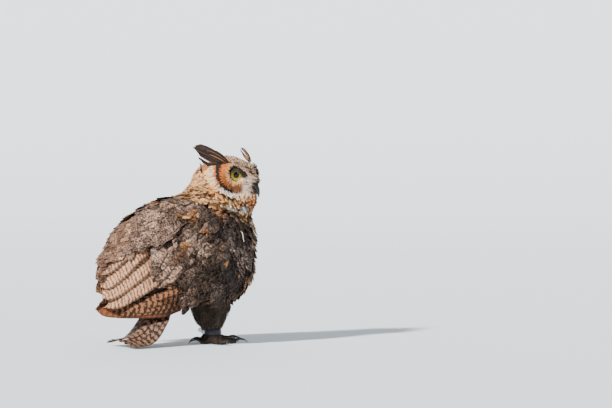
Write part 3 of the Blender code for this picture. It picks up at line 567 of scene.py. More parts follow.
def vane_object(name, points, u, v, marks, length, width, seeds, bake):
    """One mesh of many vanes. bake(vane) gives each feather's patch of the OFBake map, from its u and v."""
    count, rows, columns = points.shape[:3]
    each = rows * columns
    points[..., 2] = np.maximum(points[..., 2], FLOOR_GAP)
    vane = np.stack(np.meshgrid(u * 0.5 + 0.5, v), axis=-1)
    vane = np.tile(vane.reshape(1, each, 2), (count, 1, 1))
    size = np.stack([length * 100, width * 100, seeds], axis=1)

    def spread(values):
        return np.repeat(values, each, axis=0)

    return mesh_of(
        name, points.reshape(-1, 3), vane_quads(count, rows, columns),
        (("Vane", vane.reshape(-1, 2)), ("OFBake", bake(vane).reshape(-1, 2))),
        (
            ("ground", "FLOAT_COLOR", spread(with_alpha(marks["ground"], marks.get("plain", 1.0)))),
            ("mark", "FLOAT_COLOR", spread(with_alpha(marks["mark"]))),
            ("pattern", "FLOAT_COLOR", spread(marks["pattern"])),
            ("size", "FLOAT_VECTOR", spread(size)),
        ),
    )


def patches_at(places):
    """Small patches of the OFBake map, one for each feather, at its root's place on the unwrapped skin."""
    return lambda vane: places[:, None, :] + (vane - 0.5) * BAKE_PATCH


def atlas(count):
    """Patches of the OFBake map in rows, one for each of a few large feathers."""
    wide = math.ceil(math.sqrt(count * 2.2))
    tall = math.ceil(count / wide)
    index = np.arange(count)
    corner = np.stack([index % wide / wide, index // wide / tall], axis=1)[:, None, :]
    cell = np.array((1 / wide, 1 / tall))
    return lambda vane: corner + cell * (0.06 + 0.88 * vane)


def unwrapped(points, centre, axis):
    """Places on an unwrap of the skin: the angle round an axis, and the way along it."""
    offset = points - np.array(centre)
    axis = np.array(axis)
    height = offset @ axis
    side = np.array((0.0, 1.0, 0.0)) - axis * axis[1]
    side = side / np.linalg.norm(side)
    front = np.cross(side, axis)
    angle = np.arctan2(offset @ side, offset @ front)
    place = np.stack([angle / (2 * math.pi) + 0.5, (height - height.min()) / np.ptp(height)], axis=1)
    return 0.01 + 0.98 * place


def contour_outline(v):
    """A body feather: narrow root, broad rounded tip."""
    return (0.25 + 0.75 * np.sqrt(v)) * (1 - v**3.4) ** 0.5 + 0.04


def slender_outline(v):
    return (0.35 + 0.65 * np.sqrt(v)) * (1 - v**2.2) ** 0.7 + 0.05


def flight_outline(v):
    """A flight feather: near parallel sides and a rounded tip."""
    return (0.30 + 0.70 * fade(v, 0.0, 0.22)) * (1 - v**9) ** 0.55 + 0.02


def vary(colours, amount, rng):
    """Each feather a little lighter or darker than the last, of the same hue."""
    share = 1 + amount * rng.normal(size=(len(colours), 1))
    return colours * np.clip(share, 0.1, 0.95 / colours.max(axis=1, keepdims=True))


COAT_FRAY, COAT_TILT, COAT_SWEEP = 0.14, 0.10, 0.25
DARK_SHARE, DARKENED = 0.27, (0.22, 0.19, 0.18)  # of the feathers on neck and crown, and how they are tinted


def plumage():
    return bpy.context.scene.owl_plumage


def grow_coat(name, form, belongs, spacing, rows, columns, *, unwrap, outline=contour_outline, way=lie, size=None,
              lift=0.10, cup=0.18, wander=0.14, buff=0.0, seed=0):
    """A piece of the coat: feathers rooted all over the part of the outer form where belongs(spots) is true.

    way(spots, normals) gives the lie, size a length and width instead of the markings' own, lift how far
    the tips stand up, wander how far the feathers stray from the lie, buff the share with a buff base.
    """
    rng = np.random.default_rng(plumage().seed * 100 + seed)
    roots, normals = form.scatter(spacing, belongs, rng)
    kept = belongs(Spots(roots)) & (roots[:, 2] > 0.0025)
    roots, normals = roots[kept], normals[kept]
    kept = open_to_view(form, roots, normals)
    roots, normals = roots[kept], normals[kept]
    spots = Spots(roots)
    marks = markings(spots)
    count = len(roots)
    length = marks["length"] * (1 + 0.12 * rng.normal(size=count).clip(-2, 2))
    width = marks["width"] * (1 + 0.10 * rng.normal(size=count).clip(-2, 2))
    if size:
        length, width = size[0] * (0.75 + 0.5 * rng.random(count)), size[1] * (0.8 + 0.4 * rng.random(count))
    heading = way(spots, normals)
    heading = along_surface(heading + wander * np.cross(normals, heading) * rng.normal(size=(count, 1)), normals)
    paths, ups = form.trace(roots, normals, heading, length, 4)
    depth = coat_depth(spots)
    raised = swelling(spots)
    stand = (lift * (0.6 + 0.8 * rng.random(count))) * length

    def rise(v):
        return depth[:, None] * 0.9 * (v**0.7 - 1) + raised[:, None] + stand[:, None] * v**2

    points, u, v = vane_grid(
        paths, ups, width, rows, columns, rise=rise, outline=outline, cup=cup, fray=COAT_FRAY,
        tilt=COAT_TILT * rng.normal(size=count), sweep=COAT_SWEEP, rng=rng,
    )
    marks["ground"] = vary(marks["ground"], 0.14 + 0.20 * (spots.neck - spots.face)[:, None], rng)
    flecked = spots.head_and_neck * np.maximum(spots.from_eye > 0.054, spots.brow_line > 0.004)
    dark = rng.random(count) < DARK_SHARE * flecked
    marks["ground"][dark] *= DARKENED
    marks["plain"] = 1 - 0.9 * (rng.random((count, 1)) < buff)  # those that aren't plain show a buff base
    piece = vane_object(name, points, u, v, marks, length, width, rng.random(count), patches_at(unwrap(roots)))
    piece.data.materials.append(feather_material())
    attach(piece, "root")


# --- Materials -----------------------------------------------------------------------------------


class Tree:
    """Short calls for building a node tree."""

    def __init__(self, tree):
        self.tree = tree
        self.column = 0

    def add(self, kind, **settings):
        node = self.tree.nodes.new(kind)
        self.column += 1
        node.location = (180 * (self.column % 12), -220 * (self.column // 12))
        for key, value in settings.items():
            setattr(node, key, value)
        return node

    def link(self, source, target):
        self.tree.links.new(source, target)

    def put(self, target, value):
        """Links a socket to a socket, or sets a value on it."""
        if isinstance(value, bpy.types.NodeSocket):
            self.link(value, target)
        else:
            target.default_value = value

    def math(self, operation, a, b=0.0, c=0.0, clamp=False):
        node = self.add("ShaderNodeMath", operation=operation, use_clamp=clamp)
        for socket, value in zip(node.inputs, (a, b, c)):
            self.put(socket, value)
        return node.outputs[0]

    def smooth(self, value, low, high, start=0.0, end=1.0):
        node = self.add("ShaderNodeMapRange", interpolation_type="SMOOTHSTEP")
        for key, given in zip(("Value", "From Min", "From Max", "To Min", "To Max"), (value, low, high, start, end)):
            self.put(node.inputs[key], given)
        return node.outputs["Result"]

    def mix(self, factor, a, b, blend="MIX"):
        node = self.add("ShaderNodeMix", data_type="RGBA", blend_type=blend, clamp_factor=True)
        self.put(node.inputs[0], factor)
        self.put(node.inputs[6], a)
        self.put(node.inputs[7], b)
        return node.outputs[2]

    def join(self, x, y, z):
        node = self.add("ShaderNodeCombineXYZ")
        for socket, value in zip(node.inputs, (x, y, z)):
            self.put(socket, value)
        return node.outputs[0]

    def split(self, vector):
        node = self.add("ShaderNodeSeparateXYZ")
        self.link(vector, node.inputs[0])
        return node.outputs

    def noise(self, vector, scale, detail=2.0, roughness=0.5):
        node = self.add("ShaderNodeTexNoise")
        self.put(node.inputs["Vector"], vector)
        node.inputs["Scale"].default_value = scale
        node.inputs["Detail"].default_value = detail
        node.inputs["Roughness"].default_value = roughness
        return node.outputs["Fac"]

    def attribute(self, name):
        return self.add("ShaderNodeAttribute", attribute_name=name, attribute_type="GEOMETRY").outputs

    def on_object(self):
        return self.add("ShaderNodeTexCoord").outputs["Object"]


class Look(Tree):
    """A new material's tree, with its Principled shader."""

    def __init__(self, name):
        self.material = bpy.data.materials.new(name)
        self.material.use_nodes = True
        super().__init__(self.material.node_tree)
        self.shader = self.tree.nodes["Principled BSDF"]

    def relief(self, height, strength, distance=0.0003):
        bump = self.add("ShaderNodeBump")
        bump.inputs["Strength"].default_value = strength
        bump.inputs["Distance"].default_value = distance
        self.link(height, bump.inputs["Height"])
        self.link(bump.outputs[0], self.shader.inputs["Normal"])

    def shade(self, **inputs):
        """Links or sets inputs of the shader, Base_Color for Base Color, and returns the material."""
        for key, value in inputs.items():
            self.put(self.shader.inputs[key.replace("_", " ")], value)
        return self.material


def node_group(name, inputs, outputs):
    """A new shader group with named sockets, its tree helper and the sockets inside it."""
    group = bpy.data.node_groups.new(name, "ShaderNodeTree")
    for label, kind, default in inputs:
        socket = group.interface.new_socket(label, in_out="INPUT", socket_type="NodeSocket" + kind)
        if default is not None:
            socket.default_value = default
    for label, kind in outputs:
        group.interface.new_socket(label, in_out="OUTPUT", socket_type="NodeSocket" + kind)
    tree = Tree(group)
    return group, tree, tree.add("NodeGroupInput").outputs, tree.add("NodeGroupOutput").inputs


def vane_pattern():
    """Crossbars, fine wavy lines, shaft streak, tip and barbs on a vane, as one mask and one height."""
    found = bpy.data.node_groups.get("vane pattern")
    if found:
        return found
    group, t, given, out = node_group(
        "vane pattern",
        (("Vane", "Vector", None), ("Size", "Vector", None), ("Bars", "Float", 0.0), ("Contrast", "Float", 1.0),
         ("Streak", "Float", 0.0), ("Tip", "Float", 0.0), ("Bar period", "Float", 0.55),
         ("Line scale", "Float", 1.0)),
        (("Amount", "Float"), ("Height", "Float"), ("Edge", "Float"), ("Root", "Float"), ("Base", "Float")),
    )
    u, v, _ = t.split(given["Vane"])
    length, width, seed = t.split(given["Size"])
    across = t.math("MULTIPLY_ADD", u, 2.0, -1.0)
    off_shaft = t.math("ABSOLUTE", across)
    x = t.math("MULTIPLY", t.math("MULTIPLY", across, width), 0.5)
    y = t.math("MULTIPLY", v, length)
    slant = t.math("MULTIPLY_ADD", t.math("ABSOLUTE", x), -0.22, y)
    place = t.join(t.math("MULTIPLY", x, 2.2), t.math("MULTIPLY", slant, 6.5), t.math("MULTIPLY", seed, 40.0))
    scaled = t.add("ShaderNodeVectorMath", operation="SCALE")
    t.link(place, scaled.inputs[0])
    t.link(given["Line scale"], scaled.inputs["Scale"])
    lines = t.smooth(t.noise(scaled.outputs[0], 1.0, 2.5, 0.6), 0.38, 0.56)
    drift = t.join(t.math("MULTIPLY", x, 2.0), t.math("MULTIPLY", y, 1.5), t.math("MULTIPLY", seed, 30.0))
    waver = t.noise(drift, 1.2, 2.0)
    phase = t.math("DIVIDE", slant, given["Bar period"])
    phase = t.math("ADD", phase, t.math("MULTIPLY_ADD", waver, 1.3, seed))
    wave = t.math("SINE", t.math("MULTIPLY", phase, 2 * math.pi))
    bars = t.smooth(wave, -0.25, 0.35)
    pattern = t.math("ADD", t.math("MULTIPLY", bars, given["Bars"]),
                     t.math("MULTIPLY", lines, t.math("SUBTRACT", 1.0, given["Bars"])))
    streak = t.math("MULTIPLY", t.smooth(off_shaft, 0.34, 0.10), given["Streak"])
    tip = t.math("MULTIPLY", t.smooth(t.math("MULTIPLY_ADD", waver, 0.15, v), 0.90, 0.98), given["Tip"])
    amount = t.math("MULTIPLY", pattern, given["Contrast"])
    amount = t.math("MAXIMUM", t.math("MAXIMUM", amount, streak), tip, clamp=True)
    barbs = t.math("SINE", t.math("MULTIPLY", t.math("MULTIPLY_ADD", t.math("ABSOLUTE", x), -1.2, y), 90.0))
    shaft = t.smooth(off_shaft, 0.10, 0.02)
    t.link(amount, out["Amount"])
    t.link(t.math("MULTIPLY_ADD", barbs, 0.25, shaft), out["Height"])
    t.link(t.smooth(off_shaft, 0.72, 0.92), out["Edge"])
    # Root: where the painted shade at each vane's base falls.
    t.link(t.smooth(v, 0.45, 0.05), out["Root"])
    t.link(t.smooth(t.math("MULTIPLY_ADD", waver, 0.5, v), 0.92, 0.70), out["Base"])
    return group


def feather_tree(name, *, bar_period, line_scale, margin_and_shadow_colour, edge_share, roughness, bump=0.35,
                 root=(0.55, 0.50, 0.46)):
    """A feather's material: colours and pattern weights come from the mesh, the pattern from the group; towards its
    root each vane is darkened by the root colour, painted shade where feathers overlap.
    """
    t = Look(name)
    ground, mark, weights = (t.attribute(key) for key in ("ground", "mark", "pattern"))
    vane = t.add("ShaderNodeUVMap", uv_map="Vane").outputs[0]
    group = t.add("ShaderNodeGroup", node_tree=vane_pattern())
    bars, contrast, streak = t.split(weights["Vector"])
    given = {
        "Vane": vane, "Size": t.attribute("size")["Vector"], "Bars": bars, "Contrast": contrast,
        "Streak": streak, "Tip": weights["Alpha"], "Bar period": bar_period, "Line scale": line_scale,
    }
    for key, value in given.items():
        t.put(group.inputs[key], value)
    seen = group.outputs
    colour = t.mix(seen["Amount"], ground["Color"], mark["Color"])
    # Edge: pale margins on the soft feathers; on the quills a dark line, painted shadow between overlapping
    # feathers.
    colour = t.mix(t.math("MULTIPLY", seen["Edge"], edge_share), colour, (*margin_and_shadow_colour, 1))
    base = t.math("MULTIPLY", t.math("SUBTRACT", 1.0, ground["Alpha"]), seen["Base"])
    colour = t.mix(base, colour, (*tint(0.74, 0.52, 0.34), 1))
    # Painted shade: each vane's base darkened by the root colour, as under the feathers that lie over it.
    shade = t.mix(1.0, colour, (*root, 1), "MULTIPLY")
    colour = t.mix(t.math("MULTIPLY", seen["Root"], 0.8), colour, shade)
    t.relief(seen["Height"], bump)
    return t.shade(Base_Color=colour, Roughness=roughness, Specular_IOR_Level=0.18)


def feather_material():
    return bpy.data.materials.get("soft feathers") or feather_tree(
        "soft feathers", bar_period=0.42, line_scale=0.66, margin_and_shadow_colour=tint(0.66, 0.52, 0.42), edge_share=0.15,
        roughness=0.78,
    )


def quill_material(name, bar_period):
    # Quills: a dark edge, painted shadow between the overlapping feathers, and a dark root colour, painted shade
    # over their roots.
    return bpy.data.materials.get(name) or feather_tree(
        name, bar_period=bar_period, line_scale=0.62, margin_and_shadow_colour=tint(0.13, 0.085, 0.06), edge_share=0.75,
        roughness=0.62, bump=0.5, root=(0.26, 0.20, 0.17),
    )


def skin_material():
    t = Look("down and skin")
    place = t.on_object()
    fleck = t.smooth(t.noise(place, 420, 3.0), 0.42, 0.58)
    colour = t.mix(t.math("MULTIPLY", fleck, 0.75), t.attribute("ground")["Color"], t.attribute("mark")["Color"])
    t.relief(t.noise(place, 700, 2.0), 0.6, 0.0008)
    return t.shade(Base_Color=t.mix(1.0, colour, (0.45, 0.40, 0.37, 1), "MULTIPLY"), Roughness=0.9)


def horn_material(name, colour, pale):
    t = Look(name)
    scales = (160.0, 160.0, 420.0)
    growth = t.join(*(t.math("MULTIPLY", part, scale) for part, scale in zip(t.split(t.on_object()), scales)))
    growth = t.noise(growth, 1.0, 4.0)
    t.relief(growth, 0.25)
    return t.shade(
        Base_Color=t.mix(t.smooth(growth, 0.40, 0.75), (*colour, 1), (*pale, 1)),
        Roughness=t.smooth(growth, 0.2, 0.8, 0.30, 0.48), Coat_Weight=0.12, Coat_Roughness=0.2,
    )


def iris_material(settings):
    """Yellow with fibres towards a black pupil, darker above with painted shade from the lid, and a dark rim."""
    t = Look("iris")
    pupil, yellow = settings.pupil, tuple(settings.iris)
    u, v, _ = t.split(t.add("ShaderNodeUVMap", uv_map="Iris").outputs[0])
    x, y = t.math("MULTIPLY_ADD", u, 2.0, -1.0), t.math("MULTIPLY_ADD", v, 2.0, -1.0)
    radius = t.math("SQRT", t.math("ADD", t.math("MULTIPLY", x, x), t.math("MULTIPLY", y, y)))
    turn = t.math("ARCTAN2", y, x)
    ring = t.join(t.math("MULTIPLY", t.math("COSINE", turn), 9.0), t.math("MULTIPLY", t.math("SINE", turn), 9.0),
                  t.math("MULTIPLY", radius, 1.6))
    fibres = t.noise(ring, 1.6, 4.0, 0.65)
    amber = tuple(c * f for c, f in zip(yellow, (0.55, 0.50, 0.30)))
    colour = t.mix(t.smooth(fibres, 0.35, 0.70), (*amber, 1), (*yellow, 1))
    # Painted shade: the upper part of the iris darkened, as under the lid and brow.
    shade = t.smooth(t.math("MULTIPLY_ADD", x, 0.25, y), -0.55, 0.65, 0.0, 0.88)
    colour = t.mix(shade, colour, (0.035, 0.027, 0.004, 1))
    colour = t.mix(t.smooth(radius, 0.90, 1.0), colour, (0.10, 0.07, 0.01, 1))
    inner = t.math("MULTIPLY", t.smooth(radius, pupil + 0.10, pupil), 0.6)
    colour = t.mix(inner, colour, (0.35, 0.22, 0.02, 1))
    colour = t.mix(t.smooth(radius, pupil + 0.02, pupil - 0.02), colour, (0.002, 0.002, 0.002, 1))
    t.relief(fibres, 0.4)
    return t.shade(Base_Color=colour, Roughness=0.45, Specular_IOR_Level=0.0)


def cornea_material():
    """Clear and glossy, and it lets light through to the iris."""
    t = Look("cornea")
    clear, blend_node = t.add("ShaderNodeBsdfTransparent"), t.add("ShaderNodeMixShader")
    rays = t.add("ShaderNodeLightPath").outputs
    passing = t.math("MAXIMUM", rays["Is Shadow Ray"], rays["Is Diffuse Ray"])
    for source, socket in zip((passing, t.shader.outputs[0], clear.outputs[0]), blend_node.inputs):
        t.link(source, socket)
    t.link(blend_node.outputs[0], t.tree.nodes["Material Output"].inputs["Surface"])
    return t.shade(Base_Color=(1, 1, 1, 1), Transmission_Weight=1.0, Roughness=0.0, IOR=1.34)


def plain_material(name, dark, pale, *, scale, roughness, bump, metallic=0.0):
    """A surface that varies finely between two colours, such as leather, wet skin or metal."""
    t = Look(name)
    grain = t.noise(t.on_object(), scale, 4.0, 0.6)
    t.relief(grain, bump)
    return t.shade(
        Base_Color=t.mix(t.smooth(grain, 0.35, 0.70), (*dark, 1), (*pale, 1)),
        Roughness=t.smooth(grain, 0.3, 0.7, roughness * 0.8, roughness * 1.15), Metallic=metallic,
    )


# --- Modelling steps -----------------------------------------------------------------------------


def pick(*objects):
    """Selects these objects alone; the last one is active."""
    if bpy.context.object and bpy.context.object.mode != "OBJECT":
        bpy.ops.object.mode_set(mode="OBJECT")
    bpy.ops.object.select_all(action="DESELECT")
    for obj in objects:
        obj.select_set(True)
        bpy.context.view_layer.objects.active = obj


def added(name, operator, **settings):
    """A new object made by one of the add operators."""
    pick()
    operator(**settings)
    obj = bpy.context.object
    obj.name = obj.data.name = name
    return obj


@contextmanager
def edit_mode():
    """Edit mode with everything selected, and back."""
    bpy.ops.object.mode_set(mode="EDIT")
    bpy.ops.mesh.select_all(action="SELECT")
    yield
    bpy.ops.object.mode_set(mode="OBJECT")


def settle(obj, place):
    """Puts an object in place, with its own axes left at the origin."""
    pick(obj)
    obj.matrix_world = place
    bpy.ops.object.transform_apply(location=True, rotation=True, scale=True)


def copy_of(name, *nodes):
    """The frame's nodes as one new object, their triangles merged into closed surfaces."""
    made = [add_object(name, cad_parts[node].data.copy()) for node in nodes]
    pick(*made)
    if len(made) > 1:
        bpy.ops.object.join()
    obj = bpy.context.view_layer.objects.active
    obj.name = name
    obj.data.materials.clear()
    with edit_mode():
        bpy.ops.mesh.remove_doubles(threshold=0.00002)
        bpy.ops.mesh.normals_make_consistent(inside=False)
    return obj


def change(obj, kind, **settings):
    """Adds a modifier and applies it."""
    pick(obj)
    modifier = obj.modifiers.new(kind.title(), kind)
    for key, value in settings.items():
        setattr(modifier, key, value)
    bpy.ops.object.modifier_apply(modifier=modifier.name)


def finish_piece(obj, material, *nodes):
    """Material, smooth shading, the body it rides on and the frame's nodes that it stands for."""
    obj.data.materials.clear()
    obj.data.materials.append(material)
    obj.data.shade_smooth()
    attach(obj, "root")
    if nodes:
        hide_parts(*nodes)


def turned(name, profile, place):
    """A turned shape about an axis: rings of (radius, height) from one end to the other, then put in place."""
    radius, height = profile[0]
    obj = added(name, bpy.ops.mesh.primitive_circle_add, vertices=64, radius=radius)
    with edit_mode():
        bpy.ops.transform.translate(value=(0, 0, height))
        for next_radius, next_height in profile[1:]:
            bpy.ops.mesh.extrude_region_move(TRANSFORM_OT_translate={"value": (0, 0, next_height - height)})
            if next_radius:
                ratio = next_radius / radius
                bpy.ops.transform.resize(value=(ratio, ratio, 1), center_override=(0, 0, next_height))
            else:
                bpy.ops.mesh.merge(type="CENTER")
            radius, height = next_radius, next_height
        bpy.ops.mesh.select_all(action="SELECT")
        bpy.ops.mesh.normals_make_consistent(inside=False)
    settle(obj, place)
    return obj


def gaze(side, sign):
    """The eye's own frame, +Z out through the pupil and +Y up."""
    turn = HEAD.to_3x3()
    out = turn @ Vector((math.cos(EYE_YAW), sign * math.sin(EYE_YAW), 0.0))
    up = turn @ Vector((0, 0, 1))
    right = up.cross(out).normalized()
    basis = Matrix((right, out.cross(right), out)).transposed()
    return Matrix.Translation(EYES[side]) @ basis.to_4x4()


# --- Skin and coat -------------------------------------------------------------------------------

OUTER_FORM = {}


def outer_form():
    """The owl's outer form as a surface, flight feathers included: coat feathers are laid along it."""
    if "surface" not in OUTER_FORM:
        sheets = [f"{side}_{part}" for side, _ in SIDES for part in ("secondaries", "primaries")]
        form = welded("outer form", *FLESH, *sheets)
        OUTER_FORM["surface"] = Surface(form)
        bpy.data.objects.remove(form)
    return OUTER_FORM["surface"]


def welded(name, *nodes):
    """Copies of nodes grown together over the fine gaps between them, and smoothed."""
    obj = copy_of(name, *nodes)
    change(obj, "DISPLACE", strength=0.0005, mid_level=0)
    change(obj, "REMESH", mode="VOXEL", voxel_size=plumage().skin_voxel)
    change(obj, "SMOOTH", factor=0.5, iterations=8)
    return obj


VIEW_WAYS = [Vector(way).normalized() for way in (
    (1, 0, 0), (-1, 0, 0.2), (0, 1, 0), (0, -1, 0), (0, 0, 1), (0.6, 0.8, 0.1), (0.6, -0.8, 0.1), (-0.6, 0.8, 0.1),
    (-0.6, -0.8, 0.1), (0.7, 0, -0.5), (-0.7, 0, -0.5), (0, -0.8, -0.4), (0, 0.8, -0.4))]


def open_to_view(surface, points, normals):
    """True where a ray leaves the surface freely in at least one of several directions."""
    seen = np.zeros(len(points), dtype=bool)
    for i, (point, normal) in enumerate(zip(points, normals)):
        start, facing = Vector(point + normal * 0.002), Vector(normal)
        for way in [facing] + VIEW_WAYS:
            if way.dot(facing) > 0.15 and surface.tree.ray_cast(start, way)[0] is None:
                seen[i] = True
                break
    return seen


def region(spots):
    """The name of the coat piece that each point belongs to."""
    side = np.where(spots.y < SPINE_Y, "right_", "left_")
    head_side = np.where(spots.sign < 0, "right_", "left_")
    toes = spots.z < TOE_TOP
    flight = (spots.x < spots.covert_edge) & (spots.wing_angle > 12) & (spots.z > TOE_TOP) & (spots.scapular < 0.5)
    belly = (spots.z < 0.120) & (spots.off_spine < 0.066)
    name = np.where(spots.wing_angle < 24, "back_feathers", np.char.add(side, "covert_feathers"))
    for here, piece in (
        ((spots.x > 0.118) | belly, "breast_feathers"),
        (spots.neck > 0.5, "neck_feathers"), (spots.head > 0.5, "crown_feathers"),
        (spots.face > 0.5, np.char.add(head_side, "face_disc")),
        (spots.leg > 0.5, np.char.add(side, "leg_feathers")), (toes, np.char.add(side, "toe_feathers")),
        (flight, "flight"),
    ):
        name = np.where(here, piece, name)
    return name


def round_axis(centre, axis):
    return lambda points: unwrapped(points, centre, axis)


def over_face(points):
    """The face as its own flat map, outwards from the eye and up."""
    spots = Spots(points)
    return 0.5 + np.stack([spots.rear, spots.up], axis=1) / 0.13


class Step:
    """What every step of building shares."""

    bl_options = {"REGISTER", "UNDO"}

    def build(self):
        raise NotImplementedError

    def execute(self, context):
        self.build()
        return {"FINISHED"}


class OWL_OT_skin(Step, bpy.types.Operator):
    """Seamless skin a coat's depth below the frame's outer form, with the coat's markings"""

    bl_idname = "owl.skin"
    bl_label = "Skin"

    def build(self):
        skin = welded("skin", *FLESH)
        spots = Spots(read(skin.data.vertices, "co", 3))
        depth = coat_depth(spots) + forehead_drop(spots)
        deepest = float(depth.max())
        group = skin.vertex_groups.new(name="coat depth")
        for index, share in enumerate(depth / deepest):
            group.add([index], float(share), "REPLACE")
        change(skin, "DISPLACE", strength=-deepest, mid_level=0, vertex_group="coat depth")
        change(skin, "SMOOTH", factor=0.5, iterations=2)
        marks = markings(spots)
        for name in ("ground", "mark"):
            layer = skin.data.attributes.new(name, "FLOAT_COLOR", "POINT")
            layer.data.foreach_set("color", with_alpha(marks[name]).astype(np.float32).ravel())
        finish_piece(skin, skin_material(), *FLESH)


def grow(name, spacing, rows, columns, unwrap, *, seed, **style):
    """Grows the coat piece of this name over its region; left and right have seeds of their own."""
    if name.startswith(("right_", "left_")):
        seed = seed * 2 + name.startswith("left_")
    grow_coat(name, outer_form(), lambda spots: region(spots) == name, spacing, rows, columns, unwrap=unwrap,
              seed=seed, **style)


BARREL = round_axis((0, SPINE_Y, 0.19), (1, 0, 0))
HEAD_UP = HEAD.to_3x3() @ Vector((0, 0, 1))


class OWL_OT_back(Step, bpy.types.Operator):
    """Feathers of the back, between the wings"""

    bl_idname = "owl.back"
    bl_label = "Back"

    def build(self):
        grow("back_feathers", plumage().body_spacing, 8, 5, BARREL, buff=0.03, lift=0.06, seed=1)


class OWL_OT_coverts(Step, bpy.types.Operator):
    """Small feathers over both wings and shoulders"""

    bl_idname = "owl.coverts"
    bl_label = "Wing coverts"

    def build(self):
        for side, _ in SIDES:
            grow(side + "_covert_feathers", plumage().body_spacing, 8, 5, BARREL, buff=0.03, seed=2)


class OWL_OT_breast(Step, bpy.types.Operator):
    """Feathers of breast and belly"""

    bl_idname = "owl.breast"
    bl_label = "Breast and belly"

    def build(self):
        upright = round_axis((0.05, SPINE_Y, 0.19), (0, 0, 1))
        grow("breast_feathers", plumage().body_spacing, 8, 5, upright, lift=0.13, seed=4)


class OWL_OT_neck(Step, bpy.types.Operator):
    """Feathers of neck, nape and throat"""

    bl_idname = "owl.neck"
    bl_label = "Neck"

    def build(self):
        unwrap = round_axis(COLLAR, HEAD_UP)
        grow("neck_feathers", plumage().neck_spacing, 7, 5, unwrap, lift=0.14, wander=0.2, seed=5)


class OWL_OT_crown(Step, bpy.types.Operator):
    """Small feathers of crown, cheeks and chin"""

    bl_idname = "owl.crown"
    bl_label = "Crown and cheeks"

    def build(self):
        grow("crown_feathers", plumage().head_spacing, 6, 5, round_axis(HEAD.translation, HEAD_UP),
             outline=slender_outline, lift=0.14, wander=0.16, seed=6)


class OWL_OT_face_discs(Step, bpy.types.Operator):
    """Hair-fine feathers that stand round the eyes"""

    bl_idname = "owl.face_discs"
    bl_label = "Facial discs"

    def build(self):
        for side, _ in SIDES:
            grow(side + "_face_disc", plumage().face_spacing, 6, 3, over_face,
                 outline=slender_outline, lift=0.07, wander=0.10, seed=7)


class OWL_OT_bristles(Step, bpy.types.Operator):
    """Fine bristles that sweep forwards from the lores over the bill"""

    bl_idname = "owl.bristles"
    bl_label = "Bristles"

    def build(self):
        def at_bill(spots):
            level = (spots.up > -0.030) & (spots.up < 0.002)
            return (spots.face > 0.5) & (spots.rear < -0.0150) & level & (spots.from_eye > 0.019)

        def forwards(spots, normals):
            way = np.stack([0.9 + 0 * spots.x, 0.05 * spots.sign, -0.35 + 6 * spots.up], axis=1)
            return along_surface(from_head(way), normals)

        grow_coat("bristles", outer_form(), at_bill, 0.0017, 7, 3, unwrap=over_face, outline=slender_outline,
                  way=forwards, size=(0.0200, 0.0013), lift=0.26, cup=0.1, wander=0.25, seed=31)


class OWL_OT_legs(Step, bpy.types.Operator):
    """Feathers of the legs and toes"""

    bl_idname = "owl.legs"
    bl_label = "Legs and toes"

    def build(self):
        for side, _ in SIDES:
            leg, foot = (round_axis(middle_of(side + part), (0, 0, 1)) for part in ("_leg", "_anklet"))
            grow(side + "_leg_feathers", plumage().leg_spacing, 6, 5, leg, lift=0.12, seed=8)
            grow(side + "_toe_feathers", plumage().toe_spacing, 5, 3, foot,
                 outline=slender_outline, lift=0.05, wander=0.2, seed=9)


COAT_STEPS = (OWL_OT_skin, OWL_OT_back, OWL_OT_coverts, OWL_OT_breast, OWL_OT_neck, OWL_OT_crown, OWL_OT_face_discs,
              OWL_OT_bristles, OWL_OT_legs)


# --- Flight feathers -----------------------------------------------------------------------------


class WingShell:
    """The outer face of one folded wing, by place along the body and angle round it."""

    def __init__(self, side, sign):
        points, triangles = [], []
        for part in ("wing", "secondaries", "primaries"):
            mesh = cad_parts[f"{side}_{part}"].data
            triangles += (triangles_of(mesh) + len(points)).tolist()
            points += [v.co.copy() for v in mesh.vertices]
        self.tree = BVHTree.FromPolygons(points, triangles)
        self.sign = sign

    def out(self, angle):
        turn = math.radians(angle)
        return Vector((0, self.sign * math.sin(turn), math.cos(turn)))

    def path(self, start, end, steps):
        """Points from start to end, each (x, angle), and the outward directions there."""
        share = np.linspace(0, 1, steps + 1)
        x = start[0] + (end[0] - start[0]) * share
        angle = start[1] + (end[1] - start[1]) * share**1.5
        points, ups = [], []
        for xi, ai in zip(x, angle):
            foot, out = Vector((xi, SPINE_Y, float(wing_foot(xi)))), self.out(ai)
            hit, normal, _, _ = self.tree.ray_cast(foot + out * 0.3, -out)
            if hit is None:  # past the end of the frame's feathers: straight on
                hit, normal = 2 * points[-1] - points[-2], ups[-1]
            points.append(hit)
            ups.append(normal if normal.dot(out) > 0 else -normal)
        points, ups = np.array(points), np.array(ups)
        for _ in range(3):
            for row in (points, ups):
                row[1:-1] = (row[:-2] + row[1:-1] * 2 + row[2:]) / 4
        return points, unit(ups)


Quill = namedtuple("Quill", "start end width layer ground mark pattern")


